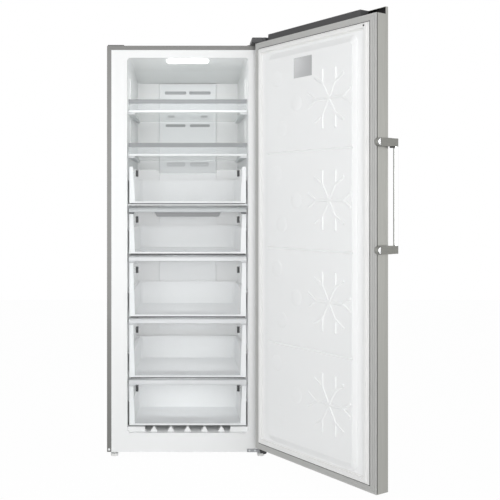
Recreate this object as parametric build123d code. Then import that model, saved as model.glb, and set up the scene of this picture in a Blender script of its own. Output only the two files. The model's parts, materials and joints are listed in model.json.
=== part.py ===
from build123d import *
import os
from math import cos, pi, radians, sqrt, tan

# Upright freezer: insulated cabinet, two glass shelves, five drawers and a side-hung door with a bar handle.
# Millimetres. +Z up, the opening faces -Y. Pieces are drawn about the middle of the cabinet's front plane at
# floor level, the door is drawn shut and swung open, and the finished set is centred on its own footprint.

# ---- Driving dimensions ----------------------------------------------------------------------------------

# Cabinet
CABINET_W = 700.0
SHEET = 1.0
EDGE_R = 5.0
STRIP_W = 19.0
LINER_T = 2.0
SIDE_WALL = 87.0
TOP_WALL = 53.0
PLINTH_H = 82.0
BACK_FOAM = 56.0
MOUTH_R = 14.0
DRAFT = 1.8
CAVITY_D = 505.0
SLOPE_START = 300.0
SLOPE_DROP = 30.0
STEP_D = 140.0
STEP_H = 221.0
STEP_BEVEL = 40.0
POCKET_W = 264.0
POCKET_D = 57.0
POCKET_RISE = 453.0
POCKET_H = 1080.0
SILL_H = 20.0
SILL_Y = 24.0
SILL_D = 36.0
SILL_OPEN = 183.0
SILL_LEAN = 6.0
SILL_RIBS = 5
RIB_PITCH = 73.7
RIB_FOOT = 32.0
RIB_TIP = 6.0
BASE_T = 2.0
SWAGE_R = 5.0
SWAGE_IN = 40.0
SWAGES = 4

# Machine bay behind the lowest drawer
BAY_WALL = 48.0
BAY_ROOF = 43.0
LOUVRE_H = 7.0
LOUVRE_W = 150.0
LOUVRE_PITCH = 24.0
LOUVRE_ROWS = 7
LOUVRE_SHIFT = 30.0
COMPRESSOR_R = 72.0
COMPRESSOR_H = 165.0
COMPRESSOR_X = 130.0
SHELL_SIDES = 24
DOME_H = 26.0
SEAM_OUT = 3.0
FOOT_PLATE_OUT = 18.0
FOOT_PLATE_IN = 7.0
GROMMET_H = 12.0
GROMMET_R = 9.0
PAN_HALF_W = 81.0
PAN_HALF_D = 64.0
PAN_H = 30.0
PAN_WALL = 3.0
COIL_X = -215.0
COIL_HALF = 76.0
COIL_D = 110.0
COIL_PITCH = 36.0
COIL_ROWS = 5
COIL_FINS = 4
COIL_RISE = 26.0
TUBE_R = 3.0
PIPE_RISE = 95.0
PIPE_LOW = 14.0
PIPE_BEND = 40.0
PIPE_LAP = 12.0
DRYER_R = 9.0
DRYER_SHORT = 16.0
CONDENSER_FAN_R = 65.0
CONDENSER_FAN_GAP = 30.0
STRUT_W = 18.0
STRUT_T = 3.0
STRUT_FOOT = 28.0
BOX_W = 78.0
BOX_D = 90.0
BOX_H = 74.0
BOX_IN = 13.0
INLET_IN = 59.0
INLET_RISE = 43.0
INLET_R = 7.6
INLET_BORE = 4.0
INLET_NUT = 13.0
DRAIN_R = 9.0
DRAIN_IN = 30.0

# Fits and clearances
RUN = 0.5
PIN_FIT = 0.05
SEAT = 0.3

# Door
DOOR_SIDE_GAP = 1.0
DOOR_T = 62.0
DOOR_RISE = 33.0
DOOR_TOP_DROP = 1.0
SEAL_GAP = 12.0
PIVOT_IN = 20.0
PIVOT_DEEP = 34.0
DOOR_OPEN = 123.5
UPSTAND_H = 27.0
RETURN_D = 14.0
PANEL_R = 4.0
TRIM_LIP = 12.0
FRAME_T = 3.0
FRAME_W = 50.0
GROOVE_W = 3.0
STEP_LINES = [9.0, 19.0]
STEP_LINE_W = 2.0
STEP_LINE_DEEP = 1.2
GASKET_HINGE = 27.5
GASKET_HANDLE = 34.0
GASKET_END = 27.0
GASKET_W = 26.0
GASKET_FOOT = 4.0
GASKET_BEAD = 5.0
LINER_EDGE = 4.0
CAP_T = 16.0
CAP_LAP = 7.0
RIDGE_SLOPE = 3.0
HINGE_POCKET = 80.0
LINING_T = 2.5

# Raised field of the door liner
FIELD_SIDE_GAP = 8.0
FIELD_END_GAP = 9.0
FIELD_H = 18.0
FIELD_SIDE_SLOPE = 10.0
FIELD_END_SLOPE = 28.0
FIELD_R = 26.0
PANELS = 4
PANEL_PITCH = 388.0
PANEL_GROOVE_R = 4.5
NOTCH_R = 6.0
NOTCH_DEEP = 6.0
STAR_T = 471.0
STAR_STEM = 71.0
STAR_FORK = 54.0
STAR_LINE = 12.0
RELIEF_H = 3.0
RELIEF_SLOPE = 45.0

# Handle
BAR_R = 9.0
BAR_SPAN = 388.0
BAR_RISE = 876.0
BAR_OUT = 9.0
BAR_FORWARD = 27.0
BRACKET_W = 18.0
BRACKET_H = 30.0
ARM_H = 29.0
BRACKET_BACK = 10.0
SOCKET_DEEP = 10.0
SOCKET_LIP = 4.0

# Hinges
PIN_R = 5.0
PIN_DEEP = 22.0
BUSH_R = 9.0
BUSH_FLANGE_R = 12.0
BUSH_FLANGE_T = 0.7
HINGE_PLATE_T = 3.0
HINGE_REACH = 52.0
HINGE_FOOT_REACH = 69.0
HINGE_NOSE_R = 15.0
HINGE_NECK = 12.0
HINGE_FRONT = 14.0
HINGE_BACK = 64.0
HINGE_FOOT_Y = 4.0
HINGE_FOOT_OUT = 8.0
COVER_H = 20.0
COVER_T = 2.5
COVER_OUT = 3.0
BLANK_H = 4.0
BLANK_W = 71.0
BLANK_D = 53.0
BLANK_IN = 3.0
LOW_HINGE_W = 84.0
LOW_HINGE_H = 14.0
LOW_HINGE_OUT = 12.0
RISER_W = 36.0
LOW_HINGE_DROP = 7.0
GUSSET_H = 22.0

# Shelves: the spaces under and over the glass, and how far it stands behind the front plane
FIRST_SHELF_GAP = 49.0
SHELF_SPACE = 191.0
TOP_SPACE = 230.0
SHELF_T = 4.0
SHELF_FRONT = 34.0
SHELF_SHORT = 27.0
SHELF_SIDE = 4.0
SHELF_IN_TRIM = 12.0
TRIM_H = 8.0
TRIM_D = 16.0
TRIM_T = 1.8
GUARD_H = 46.0
GUARD_BAND = 18.0
GUARD_T = 3.0
GUARD_BAND_T = 6.0
RAIL_CROWN = 2.0
LEDGE_W = 30.0
LEDGE_H = 9.0

# Drawers, from the lowest up: the gap under each front, its height and how far its clip slots hang down
DRAWER_GAPS = [24.0, 8.0, 8.0, 11.0, 19.0]
DRAWER_HEIGHTS = [202.0, 259.0, 264.0, 202.0, 160.0]
SLOT_DROPS = [28.0, 38.0, 47.0, 40.0, 16.0]
DRAWER_SIDE = 7.0
DRAWER_FACE = 38.0
PANEL_T = 4.0
POST_D = 8.0
POST_LOW_W = 24.0
POST_TOP_W = 16.0
BAND_H = 8.0
LIP_H = 20.0
LIP_D = 22.0
LIP_DROP = 9.0
LIP_END = 26.0
SKIRT_HALF = 146.0
SKIRT_LEAN = 12.0
SKIRT_H = 21.0
SKIRT_T = 2.5
NOTCH_TOP = 137.0
NOTCH_BOTTOM = 123.0
NOTCH_H = 29.0
SHOULDER_H = 13.0
SLOT_W = 9.0
SLOT_H = 26.0
SLOT_IN = 34.0
TUB_IN = 19.0
TUB_SHORT = 33.0
TUB_STEP_GAP = 20.0
TUB_WALL = 2.5
TUB_H = 113.0
TUB_FLOOR = 5.0
TUB_DRAFT = 4.0
TUB_R = 20.0
RIM_W = 8.0
RIM_T = 3.0
RAIL_GAP = 2.0
RAIL_H = 10.0
DIVIDER_H = 6.0
DIVIDER_W = 12.0

# Air duct, lamp and cooler
DUCT_HALF = 141.0
DUCT_T = 14.0
DUCT_WALL = 2.5
DUCT_UNDER = 80.0
DUCT_OVER = 50.0
# Outlet slots: height over the upper shelf, place and width across, height
VENTS = [(144.0, 60.0, 106.0, 15.0), (28.0, 81.0, 33.0, 10.0), (-17.0, 60.0, 98.0, 13.0)]
VENTS += [(-208.0, 58.0, 92.0, 20.0)]
LAMP_W = 184.0
LAMP_D = 70.0
LAMP_T = 7.0
LAMP_Y = 62.0
EVAP_FINS = 5
EVAP_ROWS = 5
EVAP_PITCH = 70.0
EVAP_RISE = 60.0
EVAP_SIDE = 14.0
EVAP_FAN_DROP = 160.0
EVAP_FAN_Y = 14.0
FAN_R = 50.0
FAN_DEPTH = 20.0
MOTOR_GAP = 3.0
MOTOR_OUT = 4.0
MOTOR_T = 14.0
ARM_BEHIND = 15.0
ARM_W = 12.0
ARM_T = 3.0
FAN_HUB_R = 14.0
FAN_BLADES = 5
FAN_PITCH = 28.0

# Feet and rollers
FOOT_R = 16.0
FOOT_PAD_H = 12.0
FOOT_STEM_R = 5.0
STEM_SHORT = 4.0
BOSS_R = 11.0
BOSS_H = 25.0
FOOT_IN = 30.0
FOOT_Y = 36.0
ROLLER_R = 11.5
ROLLER_GAP = 2.0
ROLLER_W = 18.0
ROLLER_IN = 60.0
ROLLER_BACK = 54.0
AXLE_R = 3.0
CHEEK_T = 3.0

# ---- Sizes that follow -----------------------------------------------------------------------------------

HALF_W = CABINET_W / 2
INSIDE_HALF = HALF_W - SHEET
CABINET_D = CAVITY_D + POCKET_D + LINER_T + BACK_FOAM
BACK_IN = CABINET_D - SHEET
CABINET_BOTTOM = 2 * ROLLER_R + ROLLER_GAP
OPEN_HALF = HALF_W - SIDE_WALL
OPEN_BOTTOM = CABINET_BOTTOM + PLINTH_H
DRAWERS_TOP = OPEN_BOTTOM + sum(DRAWER_GAPS) + sum(DRAWER_HEIGHTS)
LOWER_SHELF = DRAWERS_TOP + FIRST_SHELF_GAP
UPPER_SHELF = LOWER_SHELF + SHELF_SPACE
SHELF_Z = [UPPER_SHELF, LOWER_SHELF]
SHELF_BACK = CAVITY_D - SHELF_SHORT
OPEN_TOP = UPPER_SHELF + TOP_SPACE
CABINET_TOP = OPEN_TOP + TOP_WALL
FLOOR_Z = CABINET_BOTTOM + BASE_T
STEP_Y = CAVITY_D - STEP_D
STEP_Z = OPEN_BOTTOM + STEP_H
POCKET_BOTTOM = OPEN_BOTTOM + POCKET_RISE
POCKET_TOP = POCKET_BOTTOM + POCKET_H
BAY_Y = STEP_Y + LINER_T + BAY_WALL
BAY_TOP = STEP_Z - LINER_T - BAY_ROOF
BAY_MIDDLE = (BAY_Y + BACK_IN) / 2
FOOT_X = HALF_W - FOOT_IN
BOSS_TOP = CABINET_BOTTOM + BOSS_H
ROLLER_X = HALF_W - ROLLER_IN
ROLLER_Y = CABINET_D - ROLLER_BACK

DRAWER_HALF = OPEN_HALF - DRAWER_SIDE
TUB_HALF = DRAWER_HALF - TUB_IN
RIM_HALF = TUB_HALF + RIM_W
RAIL_HALF = TUB_HALF + RAIL_GAP
SLOT_X = DRAWER_HALF - SLOT_IN
TUB_BACK = CAVITY_D - TUB_SHORT

DOOR_BOTTOM = CABINET_BOTTOM + DOOR_RISE
DOOR_HALF = HALF_W - DOOR_SIDE_GAP
DOOR_IN = -SEAL_GAP
DOOR_OUT = DOOR_IN - DOOR_T
DOOR_TOP = CABINET_TOP - DOOR_TOP_DROP
UPSTAND_TOP = DOOR_TOP + UPSTAND_H
FRAME_BACK = DOOR_IN - FRAME_T
TRIM_BACK = FRAME_BACK - GROOVE_W
RETURN_Y = DOOR_OUT + RETURN_D
PIVOT_X = DOOR_HALF - PIVOT_IN
PIVOT_Y = DOOR_IN - PIVOT_DEEP
PIN_TOP_END = DOOR_TOP - PIN_DEEP
PIN_LOW_END = DOOR_BOTTOM + PIN_DEEP
BAR_LOW_Z = DOOR_BOTTOM + BAR_RISE

PARTS = {}


def block(x0, x1, y0, y1, z0, z1):
    """A box given by its limits."""
    return Pos((x0 + x1) / 2, (y0 + y1) / 2, (z0 + z1) / 2) * Box(x1 - x0, y1 - y0, z1 - z0)


def rod(radius, start, end, sides=0):
    """A bar between two points, round or with a number of flat sides."""
    along = Vector(*end) - Vector(*start)
    section = RegularPolygon(radius, sides) if sides else Circle(radius)
    return extrude(Plane(origin=start, z_dir=along) * section, amount=along.length)


def rectangle(x0, x1, y0, y1):
    """A rectangle in plan, given by its limits."""
    return Pos((x0 + x1) / 2, (y0 + y1) / 2) * Rectangle(x1 - x0, y1 - y0)


def front_plane(x, y, z):
    """A drawing plane across the opening, looking along +Y."""
    return Plane(origin=(x, y, z), x_dir=(1, 0, 0), z_dir=(0, 1, 0))


def plate(x0, x1, z0, z1, y0, y1, radius):
    """A plate across the opening with rounded corners."""
    outline = RectangleRounded(x1 - x0, z1 - z0, radius)
    return extrude(front_plane((x0 + x1) / 2, y0, (z0 + z1) / 2) * outline, amount=y1 - y0)


def cross_profile(points, x0, x1):
    """A prism along X whose outline is given as (y, z) points."""
    return extrude(Plane.YZ.offset(x0) * Polygon(*points, align=None), amount=x1 - x0, dir=(1, 0, 0))


def front_prism(points, y0, y1):
    """A prism along Y whose outline is given as (x, z) points."""
    outline = Polygon(*[(x, -z) for x, z in points], align=None)
    return extrude(front_plane(0, y0, 0) * outline, amount=y1 - y0, dir=(0, 1, 0))


def plan_prism(points, z0, z1, radius=0.0):
    """A prism along Z whose outline is given as (x, y) points, with its corners rounded."""
    plan = Polygon(*points, align=None)
    if radius:
        plan = fillet(plan.vertices(), radius)
    return extrude(Pos(0, 0, z0) * plan, amount=z1 - z0, dir=(0, 0, 1))


def group(pieces):
    """Several separate solids that are written as one piece."""
    return Compound([solid for piece in pieces for solid in piece.solids()])


def both_sides(shape):
    """A piece and its mirror image across the cabinet's middle."""
    return [shape, mirror(shape, about=Plane.YZ)]


def ceiling_z(y):
    return OPEN_TOP - y * tan(radians(DRAFT))


# ---- Cabinet ---------------------------------------------------------------------------------------------


def cold_space(grow=0.0):
    """The space inside the liner; grown by the liner's thickness it is the space inside the foam."""
    height = OPEN_TOP - OPEN_BOTTOM
    mouth = RectangleRounded(2 * (OPEN_HALF + grow), height + 2 * grow, MOUTH_R + grow)
    space = extrude(front_plane(0, 0, OPEN_BOTTOM + height / 2) * mouth, amount=CAVITY_D + grow, taper=DRAFT)
    back = CAVITY_D + 2 * LINER_T
    slope_z = ceiling_z(SLOPE_START) + grow
    top = CABINET_TOP
    slope = [(SLOPE_START, slope_z), (back, slope_z - SLOPE_DROP), (back, top), (SLOPE_START, top)]
    space -= cross_profile(slope, -HALF_W, HALF_W)
    step_y = STEP_Y + grow
    step_z = STEP_Z - grow
    bevel = [(step_y, step_z - STEP_BEVEL), (step_y + STEP_BEVEL, step_z)]
    step = [(step_y, 0)] + bevel + [(back, step_z), (back, 0)]
    space -= cross_profile(step, -HALF_W, HALF_W)
    half = POCKET_W / 2 + grow
    pocket_back = CAVITY_D + POCKET_D + grow
    return space + block(-half, half, CAVITY_D - 1, pocket_back, POCKET_BOTTOM - grow, POCKET_TOP + grow)


def bay_space(grow=0.0):
    """The machine bay; grown by the divider's thickness it is the space left out of the foam."""
    y = BAY_Y - grow
    top = BAY_TOP + grow
    outline = [(y, FLOOR_Z), (y, top - STEP_BEVEL), (y + STEP_BEVEL, top), (BACK_IN, top), (BACK_IN, FLOOR_Z)]
    return cross_profile(outline, -INSIDE_HALF, INSIDE_HALF)


INNER = cold_space()
INNER_LESS = cold_space(-SEAT)
OUTER = cold_space(LINER_T)
BAY = bay_space()
FEET_HOLES = [rod(BOSS_R, (x, FOOT_Y, FLOOR_Z), (x, FOOT_Y, BOSS_TOP)) for x in (-FOOT_X, FOOT_X)]
DRAIN_X = COMPRESSOR_X - DRAIN_IN
DRAIN_Y = CAVITY_D + POCKET_D / 2
PAN_LOW = FLOOR_Z + GROMMET_H + COMPRESSOR_H + SEAT
DRAIN = rod(DRAIN_R, (DRAIN_X, DRAIN_Y, PAN_LOW + PAN_H - 2), (DRAIN_X, DRAIN_Y, POCKET_BOTTOM), 12)


def wrapper():
    """One steel sheet bent over both sides and the top, with its front edge folded in."""
    shell = block(-HALF_W, HALF_W, 0, CABINET_D, CABINET_BOTTOM, CABINET_TOP)
    top_edges = shell.edges().filter_by(Axis.Y).group_by(Axis.Z)[-1]
    shell = fillet(top_edges, EDGE_R)
    hollow = block(-INSIDE_HALF, INSIDE_HALF, SHEET, CABINET_D + 1, 0, CABINET_TOP - SHEET)
    mouth = block(-HALF_W + STRIP_W, HALF_W - STRIP_W, -1, SHEET + 1, 0, CABINET_TOP - STRIP_W)
    return shell - hollow - mouth


PARTS["cabinet_wrapper"] = wrapper()


def back_panel():
    """Flat steel back stiffened by pressed swages."""
    low = BAY_TOP + BASE_T
    top = CABINET_TOP - SHEET
    panel = block(-INSIDE_HALF, INSIDE_HALF, BACK_IN, CABINET_D, low, top)
    reach = INSIDE_HALF - SWAGE_IN
    for row in range(SWAGES):
        z = low + (row + 0.5) * (top - low) / SWAGES
        y = CABINET_D - SWAGE_R / 2
        swage = rod(SWAGE_R, (-reach, y, z), (reach, y, z))
        panel += swage - block(-HALF_W, HALF_W, 0, BACK_IN, 0, CABINET_TOP)
    return panel


PARTS["back_panel"] = back_panel()


def base_pan():
    """Floor pan with bosses for the feet and the divider that forms the machine bay."""
    pan = block(-INSIDE_HALF, INSIDE_HALF, LINER_T, BACK_IN, CABINET_BOTTOM, FLOOR_Z)
    pan += bay_space(BASE_T) - BAY
    for boss in FEET_HOLES:
        pan += boss
    for x in (-FOOT_X, FOOT_X):
        pan -= rod(FOOT_STEM_R + PIN_FIT, (x, FOOT_Y, 0), (x, FOOT_Y, BOSS_TOP + 1))
    return pan - DRAIN


PARTS["base_pan"] = base_pan()


def foam():
    """Insulation that fills the walls."""
    top = CABINET_TOP - SHEET
    body = block(-INSIDE_HALF, INSIDE_HALF, LINER_T, BACK_IN, FLOOR_Z, top) - OUTER - bay_space(BASE_T)
    for boss in FEET_HOLES:
        body -= boss
    return body - DRAIN


PARTS["foam_insulation"] = foam()


def sill():
    """Raised ends and tapered ribs on the tub's floor, under the lowest drawer."""
    low = OPEN_BOTTOM
    top = OPEN_BOTTOM + SILL_H
    back = SILL_Y + SILL_D
    near = SILL_OPEN
    end = [(near, low), (OPEN_HALF, low), (OPEN_HALF, top), (near + SILL_LEAN, top)]
    pieces = both_sides(front_prism(end, SILL_Y, back) & OUTER)
    rib = [(-RIB_FOOT / 2, low), (RIB_FOOT / 2, low), (RIB_TIP / 2, top), (-RIB_TIP / 2, top)]
    for index in range(SILL_RIBS):
        pieces.append(Pos((index - (SILL_RIBS - 1) / 2) * RIB_PITCH, 0, 0) * front_prism(rib, SILL_Y, back))
    return pieces


def inner_liner():
    """Vacuum-formed liner: front flange, tapered tub with its sloped ceiling and step, cooler pocket."""
    half = HALF_W - STRIP_W
    flange = block(-half, half, 0, LINER_T, CABINET_BOTTOM, CABINET_TOP - STRIP_W)
    body = OUTER + flange - INNER
    for piece in sill():
        body += piece
    return body - DRAIN


PARTS["inner_liner"] = inner_liner()
PARTS["drain_tube"] = DRAIN - rod(DRAIN_R - 2, (DRAIN_X, DRAIN_Y, 0), (DRAIN_X, DRAIN_Y, CABINET_TOP), 12)

# Drawer levels, lowest first, as (bottom, top) of each front
LEVELS = []
level = OPEN_BOTTOM
for under, height in zip(DRAWER_GAPS, DRAWER_HEIGHTS):
    LEVELS.append((level + under, level + under + height))
    level += under + height
TOP_DRAWER = len(LEVELS) - 1


def tub_top(index):
    return LEVELS[index][0] + TUB_H


def tub_back(index):
    return STEP_Y - TUB_STEP_GAP if index == 0 else TUB_BACK


def rails():
    """Ledges under the drawers' rims and the glass shelves, and the divider under the top drawer."""
    pieces = []
    for index in range(len(LEVELS)):
        z = tub_top(index) - RIM_T - SEAT
        bar = block(RAIL_HALF, HALF_W, DRAWER_FACE + POST_D + 6, tub_back(index) - 6, z - RAIL_H, z)
        pieces += both_sides(bar & INNER_LESS)
    for z in SHELF_Z:
        bar = block(OPEN_HALF - LEDGE_W, HALF_W, SHELF_FRONT + TRIM_D + 4, SHELF_BACK - 8, z - LEDGE_H, z)
        pieces += both_sides(bar & INNER_LESS)
    top = LEVELS[TOP_DRAWER][0] - 4
    front = DRAWER_FACE + 6
    pieces.append(block(-HALF_W, HALF_W, front, front + DIVIDER_W, top - DIVIDER_H, top) & INNER_LESS)
    return group(pieces)


PARTS["side_rails"] = rails()


def lamp():
    """Ceiling lamp cover, its top face against the ceiling."""
    outline = RectangleRounded(LAMP_W, LAMP_D, LAMP_D * 0.35)
    body = extrude(Pos(0, LAMP_Y, ceiling_z(LAMP_Y) - LAMP_T) * outline, amount=LAMP_T + 6)
    body = body & INNER
    return chamfer(body.edges().group_by(Axis.Z)[0], 3)


PARTS["lamp_cover"] = lamp()


def duct_cover():
    """Channel over the cooler with outlet slots for each compartment."""
    face = CAVITY_D - DUCT_T
    low = POCKET_BOTTOM - DUCT_UNDER
    top = POCKET_TOP + DUCT_OVER
    body = block(-DUCT_HALF, DUCT_HALF, face, CAVITY_D - SEAT, low, top)
    body = chamfer(body.edges().filter_by(Axis.Z).group_by(Axis.Y)[0], DUCT_WALL)
    inside = DUCT_HALF - DUCT_WALL
    body -= block(-inside, inside, face + DUCT_WALL, CAVITY_D, low + DUCT_WALL, top - DUCT_WALL)
    for rise, x, width, height in VENTS:
        z = UPPER_SHELF + rise
        for side in (-x, x):
            back = face + 2 * DUCT_WALL
            slot = block(side - width / 2, side + width / 2, 0, back, z - height / 2, z + height / 2)
            body -= chamfer(slot.edges().filter_by(Axis.Y), height / 4)
    return body & INNER_LESS


PARTS["duct_cover"] = duct_cover()

# ---- Cooler in the rear pocket ---------------------------------------------------------------------------

EVAP_Z = POCKET_BOTTOM + EVAP_RISE
EVAP_HALF = POCKET_W / 2 - EVAP_SIDE
FAN_Z = POCKET_TOP - EVAP_FAN_DROP


def coil(y, z0, rows, pitch, half, fins, fin_h, depth, centre):
    """Rows of tube joined by bends, carried by thin upright fins."""
    body = rod(TUBE_R, (centre - half, y, z0), (centre + half, y, z0), 6)
    for row in range(1, rows):
        z = z0 + row * pitch
        body += rod(TUBE_R, (centre - half, y, z), (centre + half, y, z), 6)
    for row in range(rows - 1):
        x = centre + (half if row % 2 == 0 else -half)
        z = z0 + row * pitch
        body += block(x - TUBE_R, x + TUBE_R, y - TUBE_R, y + TUBE_R, z - TUBE_R, z + pitch + TUBE_R)
    fin_low = z0 - fin_h
    fin_top = z0 + (rows - 1) * pitch + fin_h
    for index in range(fins):
        x = centre - half + (index + 0.5) * 2 * half / fins
        body += block(x - 0.6, x + 0.6, y - depth / 2, y + depth / 2, fin_low, fin_top)
    return body


PARTS["evaporator_coil"] = coil(
    DRAIN_Y, EVAP_Z, EVAP_ROWS, EVAP_PITCH, EVAP_HALF, EVAP_FINS, 12, POCKET_D - 2 * SEAT, 0
)


def fan(radius, plane, depth):
    """Hub with pitched blades, its bore open at the back for the motor shaft."""
    wheel = Cylinder(FAN_HUB_R, depth)
    reach = radius - FAN_HUB_R
    blade = Pos(0, FAN_HUB_R - 1 + reach / 2, 0) * Rot(0, FAN_PITCH, 0) * Box(radius / 2, reach, 1.6)
    for index in range(FAN_BLADES):
        wheel += Rot(0, 0, index * 360 / FAN_BLADES) * blade
    wheel -= Pos(0, 0, 2) * Cylinder(AXLE_R + PIN_FIT, depth)
    return plane * wheel


def fan_motor(plane, depth, arms):
    """Motor can and shaft on a spider that ties it to the wall behind."""
    motor = Pos(0, 0, depth / 2 + MOTOR_GAP + MOTOR_T / 2) * Cylinder(FAN_HUB_R + MOTOR_OUT, MOTOR_T)
    motor += Pos(0, 0, depth / 2 + 1) * Cylinder(AXLE_R, depth)
    motor += Pos(0, 0, depth / 2 + ARM_BEHIND) * Box(arms, ARM_W, ARM_T)
    return plane * motor


EVAP_FAN_PLANE = front_plane(0, CAVITY_D + EVAP_FAN_Y, FAN_Z)
PARTS["evaporator_fan"] = fan(FAN_R, EVAP_FAN_PLANE, FAN_DEPTH)
PARTS["evaporator_fan_motor"] = fan_motor(EVAP_FAN_PLANE, FAN_DEPTH, POCKET_W - 1)

# ---- Shelves ---------------------------------------------------------------------------------------------


def shelf(z):
    """Tempered glass, its front edge inside the trim."""
    half = OPEN_HALF - SHELF_SIDE - SHELF_IN_TRIM
    return block(-half, half, SHELF_FRONT + TRIM_T, SHELF_BACK, z + SEAT, z + SEAT + SHELF_T)


def shelf_trim(z):
    """Moulded channel clipped over the glass's front edge."""
    half = OPEN_HALF - SHELF_SIDE
    low = z + SEAT - TRIM_T
    top = low + TRIM_H
    glass_low = z + SEAT
    outline = [
        (SHELF_FRONT, low), (SHELF_FRONT + TRIM_D, low), (SHELF_FRONT + TRIM_D, glass_low),
        (SHELF_FRONT + TRIM_T, glass_low), (SHELF_FRONT + TRIM_T, glass_low + SHELF_T),
        (SHELF_FRONT + TRIM_D, glass_low + SHELF_T), (SHELF_FRONT + TRIM_D, top), (SHELF_FRONT, top),
    ]
    return cross_profile(outline, -half, half)


def shelf_guard(z):
    """Clear upstand on the trim with a thicker rail along its top."""
    half = OPEN_HALF - SHELF_SIDE
    base = z + SEAT - TRIM_T + TRIM_H
    top = base + GUARD_H
    return block(-half, half, SHELF_FRONT, SHELF_FRONT + GUARD_T, base, top)


def guard_rail(z):
    """Grey rail pushed over the top edge of the clear upstand."""
    half = OPEN_HALF - SHELF_SIDE
    top = z + SEAT - TRIM_T + TRIM_H + GUARD_H + RAIL_CROWN
    front = SHELF_FRONT - (GUARD_BAND_T - GUARD_T) / 2
    rail = block(-half, half, front, front + GUARD_BAND_T, top - GUARD_BAND, top)
    return chamfer(rail.edges().filter_by(Axis.X).group_by(Axis.Z)[-1], 1) - shelf_guard(z)


for index, z in enumerate(SHELF_Z):
    PARTS[f"glass_shelf_{index + 1}"] = shelf(z)
    PARTS[f"shelf_trim_{index + 1}"] = shelf_trim(z)
    PARTS[f"shelf_guard_{index + 1}"] = shelf_guard(z)
PARTS["shelf_guard_rails"] = group([guard_rail(z) for z in SHELF_Z])

# ---- Drawers ---------------------------------------------------------------------------------------------


def tub_loft(y1, z0, z1, wall):
    """A tapered, round-cornered block behind the front; a wall thickness draws the space inside it."""
    y0 = DRAWER_FACE - 2 * TUB_R
    middle = (y0 + y1) / 2
    depth = y1 - y0 - 2 * wall
    half = TUB_HALF - wall
    low = RectangleRounded(2 * (half - TUB_DRAFT), depth - 2 * TUB_DRAFT, TUB_R - wall)
    high = RectangleRounded(2 * half, depth, TUB_R - wall)
    return loft([Pos(0, middle, z0 + wall) * low, Pos(0, middle, z1 + (1 if wall else 0)) * high])


def posts(index, clear=0.0):
    """Inner edges of the two posts and the band of a drawer's front, as (x, z) points up from the band."""
    z0, z1 = LEVELS[index]
    low = DRAWER_HALF - POST_LOW_W - clear
    high = DRAWER_HALF - POST_TOP_W - clear
    return [(high, z1), (low, z0 + BAND_H + clear), (-low, z0 + BAND_H + clear), (-high, z1)]


def drawer_tub(index):
    """White moulding: open tub with a rim that rides on the rails, and the posts and band of its front."""
    z0, z1 = LEVELS[index]
    top = tub_top(index)
    y0 = DRAWER_FACE
    y1 = tub_back(index)
    body = tub_loft(y1, z0 + TUB_FLOOR, top, 0) + block(-RIM_HALF, RIM_HALF, y0, y1, top - RIM_T, top)
    body -= tub_loft(y1, z0 + TUB_FLOOR, top, TUB_WALL)
    body -= block(-HALF_W, HALF_W, -HALF_W, y0 + PANEL_T + SEAT, 0, CABINET_TOP)
    outline = [(-DRAWER_HALF, z1), (-DRAWER_HALF, z0), (DRAWER_HALF, z0), (DRAWER_HALF, z1)]
    return body + front_prism(outline + posts(index), y0, y0 + POST_D)


def drawer_lip(z1):
    """Full-width grip along the top edge, deeper at both ends."""
    y = DRAWER_FACE
    tip = y - LIP_D
    low = z1 - LIP_H - LIP_DROP
    outline = Polyline((y, low), (tip + 6, low + 2), (tip, z1 - LIP_H + 2), (tip, z1 - 9))
    crown = ThreePointArc((tip, z1 - 9), (tip + 3.5, z1 - 2.5), (tip + 10, z1))
    close = Polyline((tip + 10, z1), (y, z1), (y, low))
    face = Plane.YZ.offset(-DRAWER_HALF) * make_face([outline.edges(), crown.edges(), close.edges()])
    lip = extrude(face, amount=2 * DRAWER_HALF, dir=(1, 0, 0))
    middle = DRAWER_HALF - LIP_END
    wide = middle + LIP_DROP
    under = z1 - LIP_H
    return lip - front_prism([(-wide, low - 1), (wide, low - 1), (middle, under), (-middle, under)], 0, y)


def drawer_front(index):
    """Clear panel between the posts with its clip slots, and the grip along its top edge."""
    z0, z1 = LEVELS[index]
    y = DRAWER_FACE
    front = front_prism(posts(index, SEAT), y, y + PANEL_T)
    if index == TOP_DRAWER:
        front -= block(-HALF_W, HALF_W, 0, 2 * y, z1 - SHOULDER_H, z1 + 1)
        under = z1 - NOTCH_H
        notch = [(-NOTCH_TOP, z1), (NOTCH_TOP, z1), (NOTCH_BOTTOM, under), (-NOTCH_BOTTOM, under)]
        front -= front_prism(notch, 0, 2 * y)
    else:
        front += drawer_lip(z1)
    if index == TOP_DRAWER - 1:
        top = z1 - LIP_H + 1
        skirt = [(-SKIRT_HALF, top), (SKIRT_HALF, top)]
        skirt += [(SKIRT_HALF - SKIRT_LEAN, top - SKIRT_H), (SKIRT_LEAN - SKIRT_HALF, top - SKIRT_H)]
        front += front_prism(skirt, y - LIP_D / 2, y - LIP_D / 2 + SKIRT_T)
    top = z1 - SLOT_DROPS[index]
    for side in (-SLOT_X, SLOT_X):
        front -= block(side - SLOT_W / 2, side + SLOT_W / 2, y - 1, y + PANEL_T + 1, top - SLOT_H, top)
    return front


for index in range(len(LEVELS)):
    number = len(LEVELS) - index
    PARTS[f"drawer_{number}_front"] = drawer_front(index)
    PARTS[f"drawer_{number}_tub"] = drawer_tub(index)

# ---- Hinges and top cap on the cabinet -------------------------------------------------------------------


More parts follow.
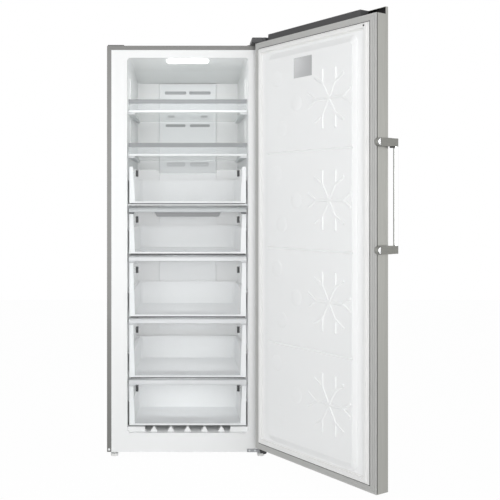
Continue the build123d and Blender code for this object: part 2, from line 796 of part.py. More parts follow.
def hinge_plan(grow, foot_reach):
    """Outline of the upper hinge: a round nose about the pin and a foot on the cabinet's top."""
    nose = Pos(PIVOT_X, PIVOT_Y) * Circle(HINGE_NOSE_R + grow)
    right = PIVOT_X - HINGE_NECK + grow
    back = HINGE_BACK + grow
    arm = rectangle(PIVOT_X - HINGE_REACH - grow, right, PIVOT_Y - HINGE_FRONT - grow, back)
    foot = rectangle(PIVOT_X - foot_reach - grow, PIVOT_X + HINGE_FOOT_OUT + grow, HINGE_FOOT_Y - grow, back)
    return nose + arm + foot


def top_hinge():
    """Steel plate on the cabinet's top with the pin the door hangs from."""
    body = extrude(Pos(0, 0, CABINET_TOP) * hinge_plan(0, HINGE_FOOT_REACH), amount=HINGE_PLATE_T)
    pin = rod(PIN_R, (PIVOT_X, PIVOT_Y, PIN_TOP_END), (PIVOT_X, PIVOT_Y, CABINET_TOP + HINGE_PLATE_T))
    return body + pin


def hinge_cover():
    """Hollow cover over the upper hinge."""
    low = CABINET_TOP + HINGE_PLATE_T + SEAT
    body = extrude(Pos(0, 0, low) * hinge_plan(COVER_OUT, HINGE_REACH), amount=COVER_H)
    body = chamfer(body.edges().group_by(Axis.Z)[-1], COVER_T)
    inside = hinge_plan(COVER_OUT - COVER_T, HINGE_REACH)
    return body - extrude(Pos(0, 0, low - 1) * inside, amount=COVER_H - COVER_T + 1)


def bottom_hinge():
    """Folded bracket screwed to the cabinet's lower rail, its pin standing up into the door."""
    x1 = PIVOT_X + LOW_HINGE_OUT
    riser = x1 - RISER_W
    top = DOOR_BOTTOM - LOW_HINGE_DROP
    y = -SEAT
    body = block(x1 - LOW_HINGE_W, x1, y - HINGE_PLATE_T, y, CABINET_BOTTOM, CABINET_BOTTOM + LOW_HINGE_H)
    body += block(riser, x1, y - HINGE_PLATE_T, y, CABINET_BOTTOM, top)
    tip = PIVOT_Y - LOW_HINGE_OUT
    nose = [(x1, PIVOT_Y - 4), (PIVOT_X + 4, tip), (PIVOT_X - 10, tip)]
    body += plan_prism([(riser, y), (x1, y)] + nose + [(riser, -HINGE_FRONT)], top - HINGE_PLATE_T, top)
    gusset = [(y, top), (y, top - GUSSET_H), (PIVOT_Y + PIN_R + 3, top)]
    body += cross_profile(gusset, riser, riser + HINGE_PLATE_T)
    body += rod(PIN_R, (PIVOT_X, PIVOT_Y, top - HINGE_PLATE_T), (PIVOT_X, PIVOT_Y, PIN_LOW_END))
    return body + rod(BUSH_R, (PIVOT_X, PIVOT_Y, top), (PIVOT_X, PIVOT_Y, DOOR_BOTTOM - BUSH_FLANGE_T - RUN))


def hole_blank():
    """Cap over the spare hinge holes on the other side."""
    edge = HALF_W - BLANK_IN
    body = block(-edge, -edge + BLANK_W, BLANK_IN, BLANK_IN + BLANK_D, CABINET_TOP, CABINET_TOP + BLANK_H)
    return chamfer(body.edges().group_by(Axis.Z)[-1], 1.5)


PARTS["hinge_top"] = top_hinge()
PARTS["hinge_cover"] = hinge_cover()
PARTS["hinge_bottom"] = bottom_hinge()
PARTS["hinge_blank"] = hole_blank()

# ---- Machine bay -----------------------------------------------------------------------------------------


def compressor():
    """Hermetic shell: a welded pot with domed ends on a foot plate."""
    pot = extrude(RegularPolygon(COMPRESSOR_R, SHELL_SIDES), amount=COMPRESSOR_H)
    pot = chamfer(pot.edges().group_by(Axis.Z)[0] + pot.edges().group_by(Axis.Z)[-1], DOME_H)
    ring = RegularPolygon(COMPRESSOR_R + SEAM_OUT, SHELL_SIDES)
    seam = extrude(Pos(0, 0, COMPRESSOR_H * 0.55) * ring, amount=2 * SEAM_OUT)
    half_x = COMPRESSOR_R + FOOT_PLATE_OUT
    half_y = COMPRESSOR_R - FOOT_PLATE_IN
    foot = block(-half_x, half_x, -half_y, half_y, 0, HINGE_PLATE_T)
    return Pos(COMPRESSOR_X, BAY_MIDDLE, FLOOR_Z + GROMMET_H) * (pot + seam + foot)


def grommets():
    """Rubber feet under the corners of the compressor's foot plate."""
    x = COMPRESSOR_R + FOOT_PLATE_OUT - GROMMET_R - 1
    y = COMPRESSOR_R - FOOT_PLATE_IN - GROMMET_R - 1
    bush = extrude(RegularPolygon(GROMMET_R, 12), amount=GROMMET_H)
    spots = [(COMPRESSOR_X + sx * x, BAY_MIDDLE + sy * y) for sx in (-1, 1) for sy in (-1, 1)]
    return group([Pos(spot_x, spot_y, FLOOR_Z) * bush for spot_x, spot_y in spots])


def tray(inset, low, top):
    """A block with cut corners over the compressor, set in from the drain pan's edges."""
    half_x = PAN_HALF_W - inset
    half_y = PAN_HALF_D - inset
    body = block(-half_x, half_x, -half_y, half_y, low, top)
    body = chamfer(body.edges().filter_by(Axis.Z), 4 * PAN_WALL - inset)
    return Pos(COMPRESSOR_X, BAY_MIDDLE, PAN_LOW) * body


def drain_pan():
    """Shallow tray that rests on the compressor and catches the defrost water."""
    return tray(0, 0, PAN_H) - tray(PAN_WALL, PAN_WALL, PAN_H + 1)


def bay_cover():
    """Louvred steel cover over the machine bay."""
    low = FLOOR_Z + SEAT
    body = block(-INSIDE_HALF + SEAT, INSIDE_HALF - SEAT, BACK_IN - SHEET, BACK_IN, low, BAY_TOP - SEAT)
    z0 = (low + BAY_TOP) / 2 - (LOUVRE_ROWS - 1) / 2 * LOUVRE_PITCH
    for row in range(LOUVRE_ROWS):
        z = z0 + row * LOUVRE_PITCH
        for x in (COIL_X, COMPRESSOR_X - LOUVRE_SHIFT):
            body -= block(x - LOUVRE_W / 2, x + LOUVRE_W / 2, 0, CABINET_D + 1, z, z + LOUVRE_H)
    return body - rod(INLET_R + 0.4, (INLET_X, 0, INLET_Z), (INLET_X, CABINET_D + 1, INLET_Z))


def pipes():
    """Discharge line to the condenser and the dryer on the way to the cooler."""
    offset = COMPRESSOR_R * 0.64
    flat_r = COMPRESSOR_R * cos(pi / SHELL_SIDES)
    y = BAY_MIDDLE + offset
    start = COMPRESSOR_X - sqrt(flat_r ** 2 - (offset - TUBE_R) ** 2) - SEAT
    bend = COND_MOTOR_X + PIPE_BEND
    high = FLOOR_Z + PIPE_RISE
    low = FLOOR_Z + PIPE_LOW
    run = rod(TUBE_R, (start, y, high), (bend - TUBE_R, y, high), 6)
    run += rod(TUBE_R, (bend, y, high + TUBE_R), (bend, y, low - TUBE_R), 6)
    run += rod(TUBE_R, (bend + TUBE_R, y, low), (COIL_X + COIL_HALF - PIPE_LAP, y, low), 6)
    return run + rod(DRYER_R, (bend, y, low + DRYER_SHORT), (bend, y, high - DRYER_SHORT), 8)


INLET_X = INSIDE_HALF - INLET_IN
INLET_Z = FLOOR_Z + INLET_RISE
COIL_Z = FLOOR_Z + COIL_RISE
COND_FAN_X = COIL_X + COIL_HALF + CONDENSER_FAN_GAP
COND_FAN_Z = COIL_Z + (COIL_ROWS - 1) * COIL_PITCH / 2
COND_MOTOR_X = COND_FAN_X + FAN_DEPTH / 2 + ARM_BEHIND
PARTS["compressor"] = compressor()
PARTS["compressor_mounts"] = grommets()
PARTS["drain_pan"] = drain_pan()
PARTS["condenser_coil"] = coil(
    BAY_MIDDLE, COIL_Z, COIL_ROWS, COIL_PITCH, COIL_HALF, COIL_FINS, COIL_RISE, COIL_D, COIL_X
)
COND_FAN_PLANE = Plane(origin=(COND_FAN_X, BAY_MIDDLE, COND_FAN_Z), x_dir=(0, 1, 0), z_dir=(1, 0, 0))
PARTS["condenser_fan"] = fan(CONDENSER_FAN_R, COND_FAN_PLANE, FAN_DEPTH)


def condenser_motor():
    """The condenser fan's motor on an upright strut with a foot on the pan."""
    y0 = BAY_MIDDLE - STRUT_W / 2
    y1 = BAY_MIDDLE + STRUT_W / 2
    x = COND_MOTOR_X
    body = fan_motor(COND_FAN_PLANE, FAN_DEPTH, 2 * ARM_W)
    body += block(x - STRUT_T / 2, x + STRUT_T / 2, y0, y1, FLOOR_Z, COND_FAN_Z)
    return body + block(x - STRUT_FOOT / 2, x + STRUT_FOOT / 2, y0, y1, FLOOR_Z, FLOOR_Z + BASE_T)


PARTS["condenser_fan_motor"] = condenser_motor()
PARTS["refrigerant_pipes"] = pipes()
BOX_X1 = INSIDE_HALF - BOX_IN
BOX_Y0 = BAY_MIDDLE - BOX_D / 2
CONTROL = block(BOX_X1 - BOX_W, BOX_X1, BOX_Y0, BOX_Y0 + BOX_D, FLOOR_Z, FLOOR_Z + BOX_H)
PARTS["control_box"] = chamfer(CONTROL.edges().group_by(Axis.Z)[-1], 4)
INLET = rod(INLET_R, (INLET_X, BACK_IN - 14, INLET_Z), (INLET_X, CABINET_D + 9, INLET_Z))
INLET += rod(INLET_NUT, (INLET_X, BACK_IN, INLET_Z), (INLET_X, CABINET_D + 5, INLET_Z), 6)
PARTS["mains_inlet"] = INLET - rod(INLET_BORE, (INLET_X, 0, INLET_Z), (INLET_X, CABINET_D + 20, INLET_Z))
PARTS["machine_bay_cover"] = bay_cover()

# ---- Feet and rollers ------------------------------------------------------------------------------------


def foot(x):
    """Screw-in levelling foot with a knurled pad."""
    pad = extrude(Pos(x, FOOT_Y) * RegularPolygon(FOOT_R, 16), amount=FOOT_PAD_H)
    pad = chamfer(pad.edges().group_by(Axis.Z)[0], 1.5)
    return pad + rod(FOOT_STEM_R, (x, FOOT_Y, FOOT_PAD_H - 1), (x, FOOT_Y, BOSS_TOP - STEM_SHORT))


def roller(x):
    """Rear roller, free on its axle."""
    x0 = x - ROLLER_W / 2
    x1 = x + ROLLER_W / 2
    wheel = rod(ROLLER_R, (x0, ROLLER_Y, ROLLER_R), (x1, ROLLER_Y, ROLLER_R))
    return wheel - rod(AXLE_R + PIN_FIT, (x0 - 1, ROLLER_Y, ROLLER_R), (x1 + 1, ROLLER_Y, ROLLER_R))


def roller_fork(x):
    """Bracket under the pan: two cheeks with the axle across them."""
    inner = ROLLER_W / 2 + 1
    outer = inner + CHEEK_T
    top = CABINET_BOTTOM
    low = ROLLER_R - 2 * AXLE_R
    body = block(x - outer, x + outer, ROLLER_Y - 16, ROLLER_Y + 16, top - ROLLER_GAP * 0.75, top)
    for side in (-1, 1):
        near = x + side * inner
        far = x + side * outer
        cheek = [(ROLLER_Y - 14, top), (ROLLER_Y - 5, low), (ROLLER_Y + 5, low), (ROLLER_Y + 14, top)]
        body += cross_profile(cheek, min(near, far), max(near, far))
    return body + rod(AXLE_R, (x - outer, ROLLER_Y, ROLLER_R), (x + outer, ROLLER_Y, ROLLER_R))


PARTS["foot_left"] = foot(-FOOT_X)
PARTS["foot_right"] = foot(FOOT_X)
PARTS["roller_left"] = roller(-ROLLER_X)
PARTS["roller_right"] = roller(ROLLER_X)
PARTS["roller_forks"] = group([roller_fork(x) for x in (-ROLLER_X, ROLLER_X)])

# ---- Door, drawn shut ------------------------------------------------------------------------------------

DOOR = {}
GASKET_X1 = DOOR_HALF - GASKET_HINGE
GASKET_X0 = -DOOR_HALF + GASKET_HANDLE
GASKET_Z0 = DOOR_BOTTOM + GASKET_END
GASKET_Z1 = DOOR_TOP - GASKET_END


def outer_panel():
    """Steel front with folded returns; it stands above the door's top rail."""
    half = DOOR_HALF
    body = block(-half, half, DOOR_OUT, RETURN_Y, DOOR_BOTTOM, UPSTAND_TOP)
    body = fillet(body.edges().filter_by(Axis.Z).group_by(Axis.Y)[0], PANEL_R)
    inside = half - SHEET
    hollow = block(-inside, inside, DOOR_OUT + SHEET, RETURN_Y + 1, DOOR_BOTTOM + SHEET, UPSTAND_TOP - SHEET)
    hollow = fillet(hollow.edges().filter_by(Axis.Z).group_by(Axis.Y)[0], PANEL_R - SHEET)
    return body - hollow


def side_trims():
    """Brushed steel channels that close both edges of the door."""
    outer = DOOR_HALF
    inner = outer - TRIM_LIP
    front = RETURN_Y + SEAT
    web = block(outer - SHEET, outer, front, TRIM_BACK, DOOR_BOTTOM, DOOR_TOP)
    lip = block(inner, outer, TRIM_BACK - SHEET, TRIM_BACK, DOOR_BOTTOM, DOOR_TOP)
    fold = block(inner, outer, front, front + SHEET, DOOR_BOTTOM, DOOR_TOP)
    return group(both_sides(web + lip + fold))


def loop(x0, x1, z0, z1, inset, width, y0, y1):
    """A square-cornered loop, set in from a rectangle's edges."""
    cut = inset + width
    ring = block(x0 + inset, x1 - inset, y0, y1, z0 + inset, z1 - inset)
    return ring - block(x0 + cut, x1 - cut, y0 - 1, y1 + 1, z0 + cut, z1 - cut)


def inner_frame():
    """Grey frame round the door's inner face with two stepped lines; the seal is pressed onto it."""
    edge = (-DOOR_HALF, DOOR_HALF, DOOR_BOTTOM, DOOR_TOP)
    body = loop(*edge, 0, FRAME_W - LINER_EDGE, FRAME_BACK + SEAT, DOOR_IN)
    for inset in STEP_LINES:
        body -= loop(*edge, inset, STEP_LINE_W, DOOR_IN - STEP_LINE_DEEP, DOOR_IN + 1)
    return body


def seal():
    """Magnetic seal: a flat foot on the frame and the bellows that meet the cabinet."""
    edge = (GASKET_X0, GASKET_X1, GASKET_Z0, GASKET_Z1)
    base = DOOR_IN + SEAT
    foot = loop(*edge, 0, GASKET_W, base, base + GASKET_FOOT)
    return foot + loop(*edge, GASKET_BEAD, GASKET_W - 2 * GASKET_BEAD, base, -RUN)


FIELD_Y = DOOR_IN + FIELD_H
FIELD_HALF = OPEN_HALF - FIELD_SIDE_GAP
FIELD_BOTTOM = OPEN_BOTTOM + FIELD_END_GAP
FIELD_TOP = OPEN_TOP - FIELD_END_GAP
FIELD_MIDDLE = (FIELD_BOTTOM + FIELD_TOP) / 2
GROOVES = [FIELD_MIDDLE + (index - PANELS / 2) * PANEL_PITCH for index in range(1, PANELS)]
STAR_Z = [FIELD_MIDDLE + (index - (PANELS - 1) / 2) * PANEL_PITCH for index in range(PANELS)]


def field(inset, base, top):
    """Frustum of the raised field; an inset draws the space behind the sheet."""
    side = FIELD_HALF - inset
    height = FIELD_TOP - FIELD_BOTTOM - 2 * inset
    foot = RectangleRounded(2 * side, height, FIELD_R)
    crest = RectangleRounded(2 * (side - FIELD_SIDE_SLOPE), height - 2 * FIELD_END_SLOPE, FIELD_R - 6)
    return loft([front_plane(0, base, FIELD_MIDDLE) * foot, front_plane(0, top, FIELD_MIDDLE) * crest])


def groove_cuts(grow):
    """Grooves across the field and the deeper notches at their ends."""
    half = FIELD_HALF + 20
    cuts = [rod(PANEL_GROOVE_R + grow, (-half, FIELD_Y, z), (half, FIELD_Y, z)) for z in GROOVES]
    for z in GROOVES:
        for x in (-FIELD_HALF, FIELD_HALF):
            cuts.append(rod(NOTCH_R + grow, (x, FIELD_Y - NOTCH_DEEP - grow, z), (x, FIELD_Y + 1, z)))
    return cuts


def crystal():
    """Six-armed ice crystal with sloped edges: straight stems, each ending in a fork."""
    stem = Pos(STAR_STEM / 2, 0) * Rectangle(STAR_STEM + STAR_LINE, STAR_LINE)
    prong = Pos(STAR_FORK / 2, 0) * Rectangle(STAR_FORK, STAR_LINE)
    arm = extrude(stem, amount=RELIEF_H, taper=RELIEF_SLOPE)
    prong = extrude(prong, amount=RELIEF_H, taper=RELIEF_SLOPE)
    for side in (-30, 30):
        arm += Pos(STAR_STEM, 0, 0) * Rot(0, 0, side) * prong
    shape = arm
    for index in range(1, 6):
        shape += Rot(0, 0, index * 60) * arm
    return shape


def door_liner():
    """White sheet of the door: seal margin and raised field in four panels, each with an ice crystal."""
    edge = FRAME_W - LINER_EDGE + SEAT
    margin = block(
        -DOOR_HALF + edge, DOOR_HALF - edge, DOOR_IN - LINER_T, DOOR_IN, DOOR_BOTTOM + edge, DOOR_TOP - edge
    )
    body = margin + field(0, DOOR_IN - 0.5, FIELD_Y)
    for cut in groove_cuts(0):
        body -= cut
    relief = crystal()
    for z in STAR_Z:
        body += front_plane(DOOR_HALF - STAR_T, FIELD_Y, z) * relief
    return body - door_core_bump()


def door_core_bump():
    """Foam that backs the raised field, grooved to follow the sheet."""
    bump = field(LINER_T, DOOR_IN - LINER_T - 1, FIELD_Y - LINER_T)
    for cut in groove_cuts(LINER_T):
        bump -= cut
    return bump


def door_core():
    """Insulation of the door."""
    half = DOOR_HALF - TRIM_LIP - SEAT
    low = DOOR_BOTTOM + CAP_T + CAP_LAP
    high = DOOR_TOP - CAP_T - CAP_LAP
    return block(-half, half, DOOR_OUT + SHEET, FRAME_BACK, low, high) + door_core_bump()


CAP_HALF = DOOR_HALF - TRIM_LIP - SEAT
CAP_FRONT = DOOR_OUT + SHEET
CAP_BACK = FRAME_BACK - SEAT


def top_cap():
    """End cap of the door: a ridge between the two hinge recesses and a lining behind the panel's upstand."""
    low = DOOR_TOP - CAP_T - CAP_LAP
    body = block(-CAP_HALF, CAP_HALF, CAP_FRONT, CAP_BACK, low, DOOR_TOP)
    ridge = DOOR_HALF - HINGE_POCKET
    crest = ridge - RIDGE_SLOPE
    top = UPSTAND_TOP - SHEET
    outline = [(-ridge, DOOR_TOP - 1), (ridge, DOOR_TOP - 1), (crest, top), (-crest, top)]
    body += front_prism(outline, CAP_FRONT, CAP_BACK)
    body += block(-CAP_HALF, CAP_HALF, CAP_FRONT, CAP_FRONT + LINING_T, DOOR_TOP - 1, top)
    for x in (-PIVOT_X, PIVOT_X):
        body -= rod(BUSH_R + SEAT / 3, (x, PIVOT_Y, low - 1), (x, PIVOT_Y, DOOR_TOP + 1))
    return body


def bottom_cap():
    """Lower end cap of the door."""
    top = DOOR_BOTTOM + CAP_T + CAP_LAP
    body = block(-CAP_HALF, CAP_HALF, CAP_FRONT, CAP_BACK, DOOR_BOTTOM + SHEET, top)
    body += block(-CAP_HALF, CAP_HALF, RETURN_Y + SEAT, CAP_BACK, DOOR_BOTTOM, DOOR_BOTTOM + SHEET)
    for x in (-PIVOT_X, PIVOT_X):
        body -= rod(BUSH_R + SEAT / 3, (x, PIVOT_Y, DOOR_BOTTOM - 1), (x, PIVOT_Y, top + 1))
    return body


def bushes():
    """Plastic bearings for the hinge pins in the ends of the door."""
    bore_r = PIN_R + PIN_FIT
    top = rod(BUSH_R, (PIVOT_X, PIVOT_Y, PIN_TOP_END - 1), (PIVOT_X, PIVOT_Y, DOOR_TOP + BUSH_FLANGE_T))
    top += rod(BUSH_FLANGE_R, (PIVOT_X, PIVOT_Y, DOOR_TOP), (PIVOT_X, PIVOT_Y, DOOR_TOP + BUSH_FLANGE_T))
    top -= rod(bore_r, (PIVOT_X, PIVOT_Y, PIN_TOP_END - 2), (PIVOT_X, PIVOT_Y, CABINET_TOP))
    low_z = DOOR_BOTTOM - BUSH_FLANGE_T
    low = rod(BUSH_R, (PIVOT_X, PIVOT_Y, low_z), (PIVOT_X, PIVOT_Y, PIN_LOW_END + 1))
    low += rod(BUSH_FLANGE_R, (PIVOT_X, PIVOT_Y, low_z), (PIVOT_X, PIVOT_Y, DOOR_BOTTOM))
    low -= rod(bore_r, (PIVOT_X, PIVOT_Y, low_z - 1), (PIVOT_X, PIVOT_Y, PIN_LOW_END + 2))
    return group([top, low])


BAR_X = -DOOR_HALF - BAR_OUT
BAR_Y = DOOR_OUT - BAR_FORWARD


def bracket(z, inward):
    """Handle bracket: a base on the door's edge and an arm that carries the bar in front of the door."""
    x1 = -DOOR_HALF - SEAT
    x0 = x1 - BRACKET_W
    tip = BAR_Y - BAR_R
    base = block(x0, x1, DOOR_OUT + 2, DOOR_IN + BRACKET_BACK, z - BRACKET_H / 2, z + BRACKET_H / 2)
    base = fillet(base.edges().filter_by(Axis.X).group_by(Axis.Y)[-1], BRACKET_H / 2 - 1)
    arm = block(x0, x1, tip, DOOR_OUT + 3, z - ARM_H / 2, z + ARM_H / 2)
    arm = fillet(arm.edges().filter_by(Axis.Z).group_by(Axis.Y)[0], BRACKET_W / 2 - 0.5)
    body = base + arm
    face = z + inward * ARM_H / 2
    start = face - inward * SOCKET_DEEP
    return body - rod(BAR_R - SOCKET_LIP / 2 + PIN_FIT, (BAR_X, BAR_Y, start), (BAR_X, BAR_Y, face + inward))


def bar():
    """Round bar with turned-down ends inside both brackets."""
    low = BAR_LOW_Z + ARM_H / 2
    high = BAR_LOW_Z + BAR_SPAN - ARM_H / 2
    body = rod(BAR_R, (BAR_X, BAR_Y, low + SEAT), (BAR_X, BAR_Y, high - SEAT))
    end_r = BAR_R - SOCKET_LIP / 2
    reach = SOCKET_DEEP - 1
    return body + rod(end_r, (BAR_X, BAR_Y, low - reach), (BAR_X, BAR_Y, high + reach))


DOOR["door_outer_panel"] = outer_panel()
DOOR["door_side_trims"] = side_trims()
DOOR["door_top_cap"] = top_cap()
DOOR["door_bottom_cap"] = bottom_cap()
DOOR["door_inner_frame"] = inner_frame()
DOOR["door_foam_core"] = door_core()
DOOR["door_liner"] = door_liner()
DOOR["door_seal"] = seal()
DOOR["door_bushes"] = bushes()
DOOR["handle_bracket_lower"] = bracket(BAR_LOW_Z, 1)
DOOR["handle_bracket_upper"] = bracket(BAR_LOW_Z + BAR_SPAN, -1)
DOOR["handle_bar"] = bar()

# ---- Swing the door open, centre the set and write it ----------------------------------------------------

SWING = Pos(PIVOT_X, PIVOT_Y, 0) * Rot(0, 0, DOOR_OPEN) * Pos(-PIVOT_X, -PIVOT_Y, 0)
for name, shape in DOOR.items():
    PARTS[name] = SWING * shape

BOXES = [shape.bounding_box() for shape in PARTS.values()]
CENTRE_X = (min(box.min.X for box in BOXES) + max(box.max.X for box in BOXES)) / 2
CENTRE_Y = (min(box.min.Y for box in BOXES) + max(box.max.Y for box in BOXES)) / 2
LOWEST = min(box.min.Z for box in BOXES)

os.makedirs("parts", exist_ok=True)
for name, shape in PARTS.items():
    export_step(Pos(-CENTRE_X, -CENTRE_Y, -LOWEST) * shape, f"parts/{name}.step")
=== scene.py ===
# %% [markdown]
# # An upright freezer, dressed for a studio picture
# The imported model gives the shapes: a steel cabinet, a white liner, drawers, shelves and a door that stands
# open. This script adds what a CAD model leaves out: the finish of every surface, the small fittings, the
# light and the camera. Everything ends up in metres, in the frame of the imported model.

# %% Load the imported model
import bmesh
import bpy
import json
import math
from mathutils import Matrix, Vector


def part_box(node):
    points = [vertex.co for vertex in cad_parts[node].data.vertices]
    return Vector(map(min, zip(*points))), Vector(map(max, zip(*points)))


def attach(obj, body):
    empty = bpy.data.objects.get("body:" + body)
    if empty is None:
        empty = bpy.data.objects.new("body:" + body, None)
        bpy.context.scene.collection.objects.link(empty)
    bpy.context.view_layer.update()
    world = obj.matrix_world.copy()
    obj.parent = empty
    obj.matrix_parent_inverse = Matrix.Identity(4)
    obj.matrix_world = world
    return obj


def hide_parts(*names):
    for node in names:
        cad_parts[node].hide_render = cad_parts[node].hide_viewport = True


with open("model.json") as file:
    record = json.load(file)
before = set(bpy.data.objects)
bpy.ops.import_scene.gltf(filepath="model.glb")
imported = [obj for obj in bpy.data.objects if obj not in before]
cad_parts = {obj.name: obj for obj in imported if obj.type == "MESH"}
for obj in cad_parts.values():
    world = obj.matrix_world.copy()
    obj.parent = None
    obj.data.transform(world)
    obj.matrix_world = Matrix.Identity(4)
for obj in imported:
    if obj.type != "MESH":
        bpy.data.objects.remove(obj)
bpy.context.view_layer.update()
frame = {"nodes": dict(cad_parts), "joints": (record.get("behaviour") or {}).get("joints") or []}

# %% [markdown]
# ## Where things are
# The drawings of the freezer measure from the middle of its front plane, at floor level, in millimetres. The
# model's own origin is the middle of its footprint with the door open. One function turns a drawing's
# millimetres into the model's metres, so that every size below can be written as on a drawing. The door is
# drawn shut and then turned about its hinge, so one matrix does the same for what is fitted to the door.

# %% From drawing millimetres to model metres
WRAPPER_LOW, WRAPPER_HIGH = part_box("cabinet_wrapper")
MIDDLE_X = (WRAPPER_LOW[0] + WRAPPER_HIGH[0]) / 2
FRONT_Y = WRAPPER_LOW[1]
HINGE = Vector(next(j["pos_m"] for j in frame["joints"] if j["name"] == "door_hinge"))
DOOR_OPEN = math.radians(123.5)
AS_DRAWN = Matrix.Identity(4)
OPENED = Matrix.Translation(HINGE) @ Matrix.Rotation(DOOR_OPEN, 4, "Z") @ Matrix.Translation(-HINGE)


def at(x, y, z):
    """A place on the cabinet, in millimetres from the middle of its front plane."""
    return Vector((MIDDLE_X + x / 1000, FRONT_Y + y / 1000, z / 1000))


print("front plane at", round(FRONT_Y, 4), "hinge axis at", [round(c, 4) for c in HINGE])

# %% [markdown]
# ## Camera
# A product picture is taken square on, at about chest height, from a few metres away, so that upright edges
# stay upright. The object stands off the middle of the picture, which the lens shift allows: moving the frame
# keeps the vanishing point in front of the cabinet, where turning the camera would not.

# %% Camera
CAMERA_BACK = 3590.0
CAMERA_HIGH = 1096.0
camera_data = bpy.data.cameras.new("studio_camera")
camera_data.lens = 59.6
camera_data.sensor_width = 36.0
camera_data.shift_x = 0.1246
camera_data.shift_y = -0.09
camera_data.clip_end = 50
camera = bpy.data.objects.new("studio_camera", camera_data)
camera.location = at(0, -CAMERA_BACK, CAMERA_HIGH)
camera.rotation_euler = (math.radians(90), 0, 0)
bpy.context.scene.collection.objects.link(camera)
bpy.context.scene.camera = camera
print("camera stands at", [round(c, 3) for c in camera.location])

# %% [markdown]
# ## Light and background
# The picture has a white background with hardly any shadow. The background's white is only what the camera,
# mirrors and glass see of the world, by the Light Path node. What lights the freezer is a weak grey world and
# four large soft lamps. Most of the light comes from the camera's side, so that it reaches the back of the
# cabinet, and one lamp stands far to the left, so that the reliefs on the door throw soft shadows. Weak lamps
# inside the cabinet, which nothing shows, make up for light that its white walls pass on and on.

# %% Helpers for the nodes: one adds a node, one reads a colour, one tells how a surface is seen
def add(tree, kind, inputs=None, **settings):
    """Adds a node: settings are its properties, inputs are values or the outputs that feed it."""
    made = tree.nodes.new(kind)
    for name, value in settings.items():
        setattr(made, name, value)
    for name, value in (inputs or {}).items():
        if isinstance(value, bpy.types.NodeSocket):
            tree.links.new(value, made.inputs[name])
        else:
            made.inputs[name].default_value = value
    return made


def colour(code):
    """An sRGB hex colour as Blender's linear values."""
    parts = [int(code[i:i + 2], 16) / 255 for i in (0, 2, 4)]
    return tuple(c / 12.92 if c <= 0.04045 else ((c + 0.055) / 1.055) ** 2.4 for c in parts) + (1.0,)


def seen_directly(tree):
    """An output that is 1 for what the camera, a mirror or glass sees, and 0 where light is gathered."""
    path = add(tree, "ShaderNodeLightPath")
    rays = [path.outputs[name] for name in ("Is Camera Ray", "Is Glossy Ray", "Is Transmission Ray")]
    either = add(tree, "ShaderNodeMath", {0: rays[0], 1: rays[1]}, operation="MAXIMUM").outputs[0]
    return add(tree, "ShaderNodeMath", {0: either, 1: rays[2]}, operation="MAXIMUM").outputs[0]


# %% World
SOFT_LEVEL = 0.17
world = bpy.data.worlds.new("studio")
bpy.context.scene.world = world
world.use_nodes = True
sky = world.node_tree
sky.nodes.clear()
seen = seen_directly(sky)
soft = add(sky, "ShaderNodeBackground", {"Color": colour("F4F5F6"), "Strength": SOFT_LEVEL})
white = add(sky, "ShaderNodeBackground", {"Color": (1, 1, 1, 1), "Strength": 1.0})
both = add(sky, "ShaderNodeMixShader", {0: seen, 1: soft.outputs[0], 2: white.outputs[0]})
add(sky, "ShaderNodeOutputWorld", {"Surface": both.outputs[0]})
bpy.context.scene.view_settings.view_transform = "Standard"
print("view transform:", bpy.context.scene.view_settings.view_transform)


# %% Lamps
def softbox(name, place, aim, size, watts):
    """A rectangular lamp that points at a place, both in drawing millimetres; its size is in metres."""
    data = bpy.data.lights.new(name, "AREA")
    data.shape = "RECTANGLE"
    data.size, data.size_y = size
    data.energy = watts
    lamp = bpy.data.objects.new(name, data)
    lamp.location = at(*place)
    lamp.rotation_euler = (at(*aim) - lamp.location).to_track_quat("-Z", "Y").to_euler()
    bpy.context.scene.collection.objects.link(lamp)
    return lamp


# The lamps of the studio: place, aim, width and height, watts.
STUDIO = {
    "front_box": ((-150, -4300, 1250), (0, 0, 950), (3.0, 2.6), 88),
    "left_box": ((-3200, -700, 1500), (400, -300, 950), (1.0, 2.2), 25),
    "right_box": ((3200, -3000, 1300), (500, -500, 900), (1.4, 2.4), 26),
    "top_box": ((-200, -1800, 3400), (0, 0, 900), (2.4, 1.6), 13),
}
for name, (place, aim, size, watts) in STUDIO.items():
    softbox(name, place, aim, size, watts)

# The lamps of the cabinet. The freezer's own lamp is on, so one shines down from under its cover, and a weak
# one fills the space before the shelves.
LAMP_Y = 97.0
LAMP_Z = 1722.0
CABINET = {
    "cabinet_lamp": ((0, LAMP_Y, LAMP_Z), (0, LAMP_Y, 0), (0.17, 0.06), 0.34),
    "shelves_fill": ((0, 10, 1560), (0, 480, 1590), (0.46, 0.28), 0.11),
}
hidden = [softbox(name, place, aim, size, watts) for name, (place, aim, size, watts) in CABINET.items()]

# One more hangs behind the top of each drawer's front, and shines down and back into the drawer.
FILL_WATTS = {1: 0.035, 2: 0.11, 3: 0.15, 4: 0.18, 5: 0.135}
FILL_SIZE = (0.42, 0.05)
FILL_SPREAD = math.radians(90)
FILL_Y = 78.0
FILL_UNDER_TOP = 56.0
FILL_AIM_Y = 300.0
FILL_AIM_RISE = 20.0
for number, watts in FILL_WATTS.items():
    low, high = (corner[2] * 1000 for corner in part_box(f"drawer_{number}_front"))
    place = (0, FILL_Y, high - FILL_UNDER_TOP)
    aim = (0, FILL_AIM_Y, low + FILL_AIM_RISE)
    fill = softbox(f"drawer_{number}_fill", place, aim, FILL_SIZE, watts)
    fill.data.spread = FILL_SPREAD
    hidden.append(fill)
for lamp in hidden:
    lamp.visible_camera = False
    lamp.visible_glossy = False
    lamp.visible_transmission = False

# %% [markdown]
# ## Floor
# The floor is a pale sheet under the feet. The camera sees it almost as white as the background, but it still
# receives the soft shadow that keeps the freezer from floating.

